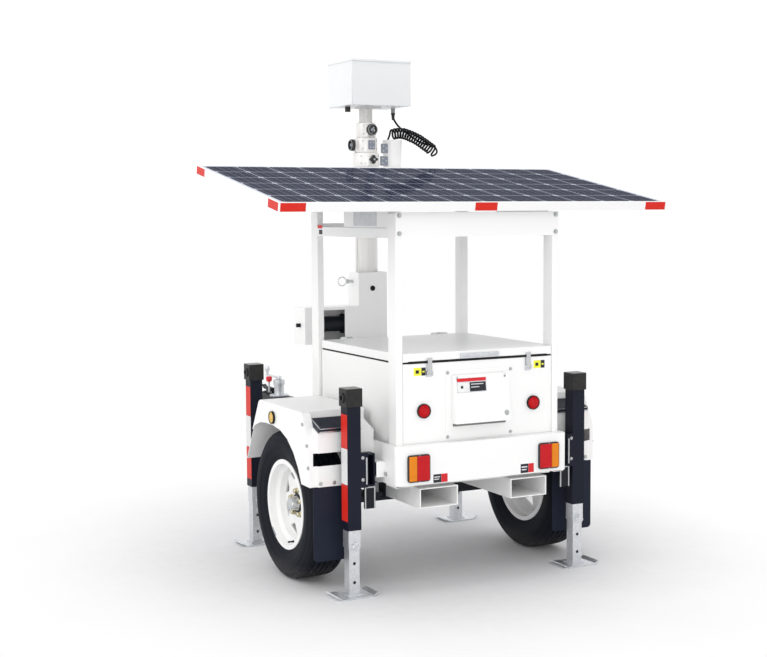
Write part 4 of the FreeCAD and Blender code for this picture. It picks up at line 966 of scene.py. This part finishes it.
# ------------------------------------------------------------ tapes and labels
def strip(name, c, u, v, w, h, body, mat, t=0.0006):
    return plate(name, c, u, v, w, h, t, 0.0015, body, mat, 3, 0.0)


for k, sx, yy in (("lr", -1, 104), ("rr", 1, 104), ("lf", -1, 1222), ("rf", 1, 1222)):
    for i, (za, zb, m) in enumerate(((650, 799, "tape_red"), (493, 650, "tape_white"), (331, 493, "tape_red"))):
        u = V3(0, -sx, 0) * -1
        c = P(sx * 616.05, yy, (za + zb) / 2)
        strip("jack_tape_%s_%d" % (k, i), c, (0, sx, 0), (0, 0, 1), 0.060, (zb - za) / 1000.0 - 0.001, "outrigger_" + k, m)

# red reflectors on the module frame's rear and left edges
ct, st = math.cos(math.radians(10.51)), math.sin(math.radians(10.51))
down = V3(0, st, -ct)                 # across the frame's depth
fwd = V3(0, ct, st)                   # up the slope
back0 = P(0, -64.7, 1706.4)
for i, (xa, xb) in enumerate(((-971, -858), (-56, 56), (858, 971))):
    c = back0 + V3((xa + xb) / 2000.0, 0, 0) + down * 0.020 - fwd * 0.00005
    strip("panel_tape_rear_%d" % i, c, (1, 0, 0), -down, (xb - xa) / 1000.0, 0.036, "chassis", "tape_red", 0.0005)
for sx, nm in ((-1, "left"), (1, "right")):
    for i, (ya, yb) in enumerate(((6, 114), (880, 986))):
        c = back0 + V3(sx * 0.97790, 0, 0) + down * 0.020 + fwd * ((ya + yb) / 2000.0)
        strip("panel_tape_%s_%d" % (nm, i), c, fwd * sx, -down, (yb - ya) / 1000.0, 0.036, "chassis", "tape_red", 0.0002)


def label(name, x0, x1, z0, z1, y, body, parts, border=None):
    """plain multi-colour label: parts are (fx0, fx1, fz0, fz1, material) in shares of its face"""
    if border:
        plate(name + "_base", P((x0 + x1) / 2, y, (z0 + z1) / 2), X, Z, (x1 - x0) / 1000.0, (z1 - z0) / 1000.0, 0.0004, 0.002, body, border, 3, 0)
    for i, (a, b, c, d, m) in enumerate(parts):
        xa, xb = x0 + (x1 - x0) * a, x0 + (x1 - x0) * b
        za, zb = z0 + (z1 - z0) * c, z0 + (z1 - z0) * d
        plate("%s_%d" % (name, i), P((xa + xb) / 2, y - 0.02, (za + zb) / 2), X, Z, (xb - xa) / 1000.0, (zb - za) / 1000.0,
              0.0003 + 0.00004 * i, 0.0012, body, m, 3, 0)


for nm, xa, xb in (("a", -329, -270), ("b", 287, 346)):
    label("caution_" + nm, xa, xb, 957, 992, 3.0, "chassis",
          [(0.0, 0.64, 0.0, 1.0, "label_yellow"), (0.65, 1.0, 0.0, 1.0, "label_black"), (0.16, 0.44, 0.28, 0.70, "label_black"), (0.72, 0.92, 0.40, 0.58, "label_yellow")])
label("bumper_label_l", -260, -189, 491, 528, -45.6, "chassis",
      [(0.0, 0.55, 0.0, 1.0, "label_black"), (0.56, 1.0, 0.0, 1.0, "label_red"), (0.06, 0.47, 0.62, 0.72, "label_white"), (0.06, 0.40, 0.36, 0.46, "label_white")])
label("bumper_label_r", 188, 258, 493, 534, -45.6, "chassis",
      [(0.0, 0.58, 0.0, 1.0, "label_black"), (0.59, 1.0, 0.0, 1.0, "label_red"), (0.06, 0.50, 0.60, 0.72, "label_white"), (0.08, 0.44, 0.30, 0.42, "label_white")])
# rating label on the hood's upper face, which slopes
hs = V3(0, -(30.0 - 12.0) / 1000.0, -(950.0 - 800.0) / 1000.0).normalized()     # down the slope


def on_hood(x0, x1, s0, s1, lift, name, mat, t=0.0004):
    top = P(0, -12.0, 950.0)
    n = X.cross(-hs)
    c = top + V3((x0 + x1) / 2000.0, 0, 0) + hs * ((s0 + s1) / 2000.0) + n * lift
    return plate(name, c, X, -hs, (x1 - x0) / 1000.0, (s1 - s0) / 1000.0, t, 0.0015, "hood", mat, 3, 0)


on_hood(-126, 26, 14, 79, 0.00005, "hood_label_0", "label_grey")
on_hood(-124, 24, 15, 30, 0.0005, "hood_label_1", "label_red", 0.00025)
on_hood(-122, -64, 34, 75, 0.0005, "hood_label_2", "label_white", 0.00025)
on_hood(-60, 22, 34, 75, 0.0005, "hood_label_3", "label_black", 0.00025)
on_hood(-106, -94, 48, 60, 0.0008, "hood_label_dot", "label_black", 0.0002)
for i in range(2):
    on_hood(-54, 10 - 22 * i, 41 + 13 * i, 45 + 13 * i, 0.0008, "hood_label_bar_%d" % i, "label_grey", 0.0002)


# ------------------------------------------------------------ mast fittings
def hand_wheel(name, ang, r0, z, body, R=0.029, node=None):
    """ringed clamp wheel: domed hub on a stud, five webs, knurled rim with a light groove"""
    a = math.radians(ang)
    n = V3(math.sin(a), -math.cos(a), 0)
    c0 = P(0, 1115, z)
    base = c0 + n * ((r0 + 26.0) / 1000.0)

    def knurl(i, j, r):
        return r * (0.955 if (j % 8) in (0, 1) and r > R * 0.93 else 1.0)

    lathe(name + "_rim", [(0.001, R * 0.70), (0.0, R * 0.78), (0.0, R * 0.95), (0.002, R), (0.015, R), (0.018, R * 0.95), (0.019, R * 0.80), (0.0175, R * 0.70)],
          base, n, body, "knob_metal", 80, True, 35, (node,) if node else (), knurl)
    lathe(name + "_groove", [(0.0186, R * 0.90), (0.0196, R * 0.885), (0.0196, R * 0.835), (0.0186, R * 0.82)], base, n, body, "bolt", 64, True)
    bm = bmesh.new()
    w = n.cross(Z).normalized()
    for k in range(5):
        t = math.radians(18 + 72 * k)
        e = w * math.cos(t) + Z * math.sin(t)
        g = e.cross(n).normalized()
        block_bm(bm, base + n * 0.008 + e * (R * 0.48), e, g, n, R * 0.60, 0.0058, 0.008)
    put(name + "_webs", bm, body, "knob_metal", 30)
    lathe(name + "_hub", [(-0.0135, 0.0049), (0.0, 0.0049), (0.0005, 0.0105), (0.012, 0.0105), (0.015, 0.0090), (0.0165, 0.0060), (0.0170, 0.0)], base, n, body, "zinc_dark", 32)


def star_knob(name, ang, r0, z, body, node):
    """four-lobed moulded star knob on a plated stud"""
    a = math.radians(ang)
    n = V3(math.sin(a), -math.cos(a), 0)
    base = P(0, 1115, z) + n * ((r0 + 26.0) / 1000.0)

    def star(i, j, r):
        return r * (0.80 + 0.20 * math.cos(4 * (2 * PI * j / 96) )) if r > 0.0085 else r

    lathe(name, [(0.0, 0.0075), (0.0, 0.0205), (0.0025, 0.0222), (0.0150, 0.0222), (0.0185, 0.0205), (0.0195, 0.0100), (0.0197, 0.0078), (0.0185, 0.0060), (0.0185, 0.0)],
          base, n, body, "plastic", 96, False, 40, (node,), star)
    lathe(name + "_insert", [(-0.0205, 0.0049), (0.0003, 0.0049), (0.0003, 0.0085), (0.0190, 0.0058), (0.0200, 0.0050), (0.0202, 0.0)], base, n, body, "bolt", 24)


M["knob_metal"] = simple("mat_knob_metal", (0.052, 0.052, 0.055), 0.38, 0.35, 0.30, 60, 0.12, 500)
star_knob("low_star_knob", 0, 52.0, 1929.75, "knob_low", "collar_knob_1")
hand_wheel("mid_hand_wheel", -90, 44.0, 2003.5, "knob_mid", 0.029, "collar_knob_2")
hand_wheel("high_hand_wheel", 0, 37.0, 2078.75, "knob_high", 0.029, "collar_knob_3")

# plated clamp ears on the middle collar, cap screws through the collars
M["ear"] = zinc("mat_clamp_ear", (0.30, 0.33, 0.39), 0.40, False)
for nm, z, body, xa, xb, zz in (("mid", 2003.5, "mast_second", -16, 22, 30),):
    plate("clamp_face_" + nm, P((xa + xb) / 2, 1115 - 57.2, z), X, Z, (xb - xa) / 1000.0, 0.046, 0.0045, 0.006, body, "ear", 5, 0.0012)
    hexes("clamp_face_%s_screws" % nm, [(P((xa + xb) / 2 + dx, 1115 - 61.6, z + dz), (0, -1, 0)) for dx, dz in ((-9, 12), (9, 12), (-9, -12), (9, -12))], body, "bolt", 0.0042, 0.004)
for nm, x0, x1, z0, z1 in (("low", 68, 111, 1901, 1949), ("high", 73, 111, 1964, 2012)):
    plate("funnel_ear_" + nm, P((x0 + x1) / 2, 1088.0 - 0.1, (z0 + z1) / 2), X, Z, (x1 - x0) / 1000.0, (z1 - z0) / 1000.0, 0.0030, 0.005, "mast_base", "ear", 5, 0.0010)
    hexes("funnel_ear_%s_bolts" % nm, [(P(x0 + 11, 1085.0, z1 - 12), (0, -1, 0)), (P(x0 + 11, 1085.0, z0 + 12), (0, -1, 0)), (P(x1 - 11, 1085.0, (z0 + z1) / 2), (0, -1, 0))], "mast_base", "bolt", 0.0055, 0.0042)


def collar_screws(name, body, r, pts):
    items = []
    for ang, z in pts:
        a = math.radians(ang)
        n = V3(math.sin(a), -math.cos(a), 0)
        items.append((P(0, 1115, z) + n * (r / 1000.0), n))
    hexes(name, items, body, "bolt", 0.0042, 0.0030)


collar_screws("collar_screws_low", "mast_base", 65.9, [(-48, 1912), (-48, 1948), (-28, 1912), (42, 1948)])
collar_screws("collar_screws_mid", "mast_second", 57.9, [(-42, 1985), (-42, 2024), (38, 1985), (38, 2024)])
collar_screws("collar_screws_high", "mast_third", 49.9, [(-38, 2060), (-38, 2100), (-20, 2104), (44, 2058)])
collar_screws("mast_pin_screw", "mast_top", 33.9, [(-10, 2146)])

# blank grommets on the mast housing
lathe("housing_grommet", [(0, 0.0135), (0.0022, 0.0135), (0.0032, 0.0118), (0.0030, 0.0085), (0.0012, 0.0072), (0.0010, 0.0)], P(-1, 1047.1, 1281), (0, -1, 0), "chassis", "seal", 40)
lathe("housing_grommet_side", [(0, 0.0120), (0.0022, 0.0120), (0.0030, 0.0105), (0.0028, 0.0075), (0.0012, 0.0065), (0.0010, 0.0)], P(80.0, 1090, 1296), (1, 0, 0), "chassis", "seal", 40)

# cap screws under the head
items = [(P(x, y, 2196.1), (0, 0, -1)) for x, y in ((-130, 985), (-60, 985), (60, 985), (125, 985), (170, 985), (-140, 1100), (-140, 1230))]
hexes("head_screws", items, "mast_top", "bolt", 0.0050, 0.0036)

# tapered strain relief under the head's gland
relief = [(0.0, 0.0112), (0.006, 0.0112), (0.0075, 0.0098)]
for i in range(5):
    d = 0.009 + 0.0052 * i
    r = 0.0096 - 0.00062 * i
    relief += [(d, r), (d + 0.0030, r - 0.0003), (d + 0.0034, r - 0.0014), (d + 0.0048, r - 0.0015)]
relief += [(0.0355, 0.0062), (0.0362, 0.0052), (0.0362, 0.0048), (0.0, 0.0048)]
lathe("cord_strain_relief", relief, P(168, 1137, 2171.5), (0, 0, -1), "mast_top", "plastic", 40, True)


# ------------------------------------------------------------ rear face fittings
# painted shade: a grey rubber colour for the shadow under the hood
M["gasket_grey"] = rubber("mat_painted_hood_shade", (0.20, 0.20, 0.19), 0.6, 0.1, 300, 0.1)
# seal lip that shows under the lid along the rear edge
plate("lid_seal_lip_rear", P(0, -0.3 + 3.2, 1015.5), X, Z, 0.714, 0.0105, 0.0016, 0.0020, "chassis", "seal", 4, 0.0004)
# painted shade: a grey strip under the hood stands for the shadow under its lip; then the hood's quarter-turn latch
plate("hood_painted_shade_strip", P(0, -0.6, 729.0), X, Z, 0.272, 0.013, 0.0008, 0.0015, "chassis", "gasket_grey", 3, 0)
c = P(122, -36.0, 772.0)
hn = X.cross(-hs)
lathe("hood_latch_cup", [(-0.002, 0.0125), (0.0012, 0.0125), (0.0020, 0.0112), (0.0016, 0.0085), (0.0006, 0.0080), (0.0006, 0.0)],
      P(0, -30.0 + 12.0 * 28 / 58 * -1, 772.0) + V3(0.121, 0, 0) + hn * 0.0, hn, "hood", "bolt", 40)
plate("hood_latch_wing", P(0, -30.0 - 12.0 * 28 / 58, 772.0) + V3(0.121, 0, 0) + hn * 0.0010, V3(0.75, 0, 0) + hs * 0.66, hn.cross(V3(0.75, 0, 0) + hs * 0.66), 0.020, 0.0052, 0.0042, 0.0022, "hood", "stainless", 4, 0.0008)

# ------------------------------------------------------------ jack brackets, step pads, tongue knob
for side, sx in (("left", -1), ("right", 1)):
    a, b = sorted((sx * 522, sx * 703))
    # painted highlight: bright stainless strips on the rear face stand for the highlight along the pad's rear edges
    plate("step_highlight_strip_rear_" + side, P((a + b) / 2, 169.4, 716.8), X, Z, (b - a) / 1000.0, 0.0046, 0.0016, 0.0015, "chassis", "stainless", 4, 0.0005)
    plate("step_highlight_strip_top_" + side, P((a + b) / 2, 169.4, 730.6), X, Z, (b - a) / 1000.0, 0.0034, 0.0016, 0.0012, "chassis", "stainless", 4, 0.0005)
    slope = V3(0, 96.5, 34.0).normalized()
    up = V3(0, -34.0, 96.5).normalized()
    # painted highlight: a bright strip down the outer side stands for the highlight on the pad's edge; ribbed tread
    # rows on the pad
    plate("step_highlight_strip_side_" + side, P(sx * 702.0, 217.75, 750.0) + up * -0.0001, V3(1, 0, 0), slope, 0.0050, 0.098, 0.0018, 0.0018, "chassis", "stainless", 4, 0.0005)
    bm = bmesh.new()
    for i in range(9):
        c0 = P(sx * 606.0, 169.5, 733.0) + slope * (0.012 + 0.0098 * i) + up * 0.0002
        block_bm(bm, c0, X, slope, up, 0.160, 0.0042, 0.0016)
    put("step_ribs_" + side, bm, "chassis", "pad", 30)
    # centre of the step box's spring latch on its rear face; the latch itself is not drawn
    c0 = P(sx * 628.0, 151.0, 694.0)

put_knob = P(-47, 2330, 687)
lathe("tongue_red_knob", [(-0.024, 0.0055), (-0.014, 0.0055), (-0.0135, 0.0150), (-0.006, 0.0170), (0.010, 0.0185), (0.014, 0.0170), (0.016, 0.0120), (0.0165, 0.0)],
      put_knob, (0, 0, 1), "chassis", "knob_red", 36)
lathe("tongue_red_knob_stem", [(0.0, 0.0050), (0.055, 0.0050), (0.0555, 0.0080), (0.060, 0.0080), (0.0605, 0.0)], put_knob + V3(0, 0, -0.078), (0, 0, 1), "chassis", "bolt", 24)


def slab(name, pts, axis, a, b, body, mat, bw=0.0005):
    """flat polygon of (y, z) millimetres, thick from x=a to x=b"""
    bm = bmesh.new()
    lo = [bm.verts.new(P(a, y, z)) for y, z in pts]
    hi = [bm.verts.new(P(b, y, z)) for y, z in pts]
    bm.faces.new(lo)
    bm.faces.new(list(reversed(hi)))
    for i in range(len(pts)):
        j = (i + 1) % len(pts)
        bm.faces.new((lo[i], hi[i], hi[j], lo[j]))
    o = put(name, bm, body, mat, 30)
    if bw:
        bev(o, bw, 2, 40)
    return o


# infill web over the left side rail with a blank grey plate, small blank label on the front post
slab("side_web_left", [(118, 1597.2), (470, 1597.2), (470, 1751), (118, 1686)], "x", -413.0, -411.0, "chassis", "white")
plate("side_blank_plate", P(-413.05, 297, 1645), V3(0, -1, 0), Z, 0.230, 0.082, 0.0012, 0.004, "chassis", "label_grey", 4, 0.0003)
plate("post_label_red", P(-416.02, 772, 1598), V3(0, -1, 0), Z, 0.054, 0.016, 0.0004, 0.0015, "chassis", "label_red", 3, 0)
plate("post_label_dark", P(-416.02, 765, 1573), V3(0, -1, 0), Z, 0.038, 0.022, 0.0004, 0.0015, "chassis", "label_black", 3, 0)

# bolts and bright bar on the arm flanges, clamp frames hung under the rear arm brackets
for k, sx, yr in (("lr", -1, 104.0), ("rr", 1, 104.0), ("lf", -1, 1222.0), ("rf", 1, 1222.0)):
    yf = yr - 31.95
    hexes("arm_flange_bolts_" + k, [(P(sx * 543.0, yf, 607), (0, -1, 0)), (P(sx * 543.0, yf, 511), (0, -1, 0))], "outrigger_" + k, "bolt", 0.0058, 0.0050, 0.0078)
    plate("arm_flange_bar_" + k, P(sx * 526.5, yf, 549), X, Z, 0.0070, 0.118, 0.0055, 0.002, "outrigger_" + k, "bolt", 4, 0.0006)
for k, sx in (("lr", -1), ("rr", 1)):
    plate("clamp_plate_" + k, P(sx * 508.0, 85.0, 430.3), X, Z, 0.052, 0.100, 0.0080, 0.004, "outrigger_" + k, "black", 5, 0.0010)
    for i, dx in enumerate((-22.5, 22.5)):
        plate("clamp_bar_%s_%d" % (k, i), P(sx * 508.0 + dx, 77.05, 430.0), X, Z, 0.0060, 0.097, 0.0040, 0.002, "outrigger_" + k, "bolt", 4, 0.0006)
    plate("clamp_bar_%s_2" % k, P(sx * 508.0, 77.05, 475.4), X, Z, 0.046, 0.0060, 0.0042, 0.002, "outrigger_" + k, "bolt", 4, 0.0006)
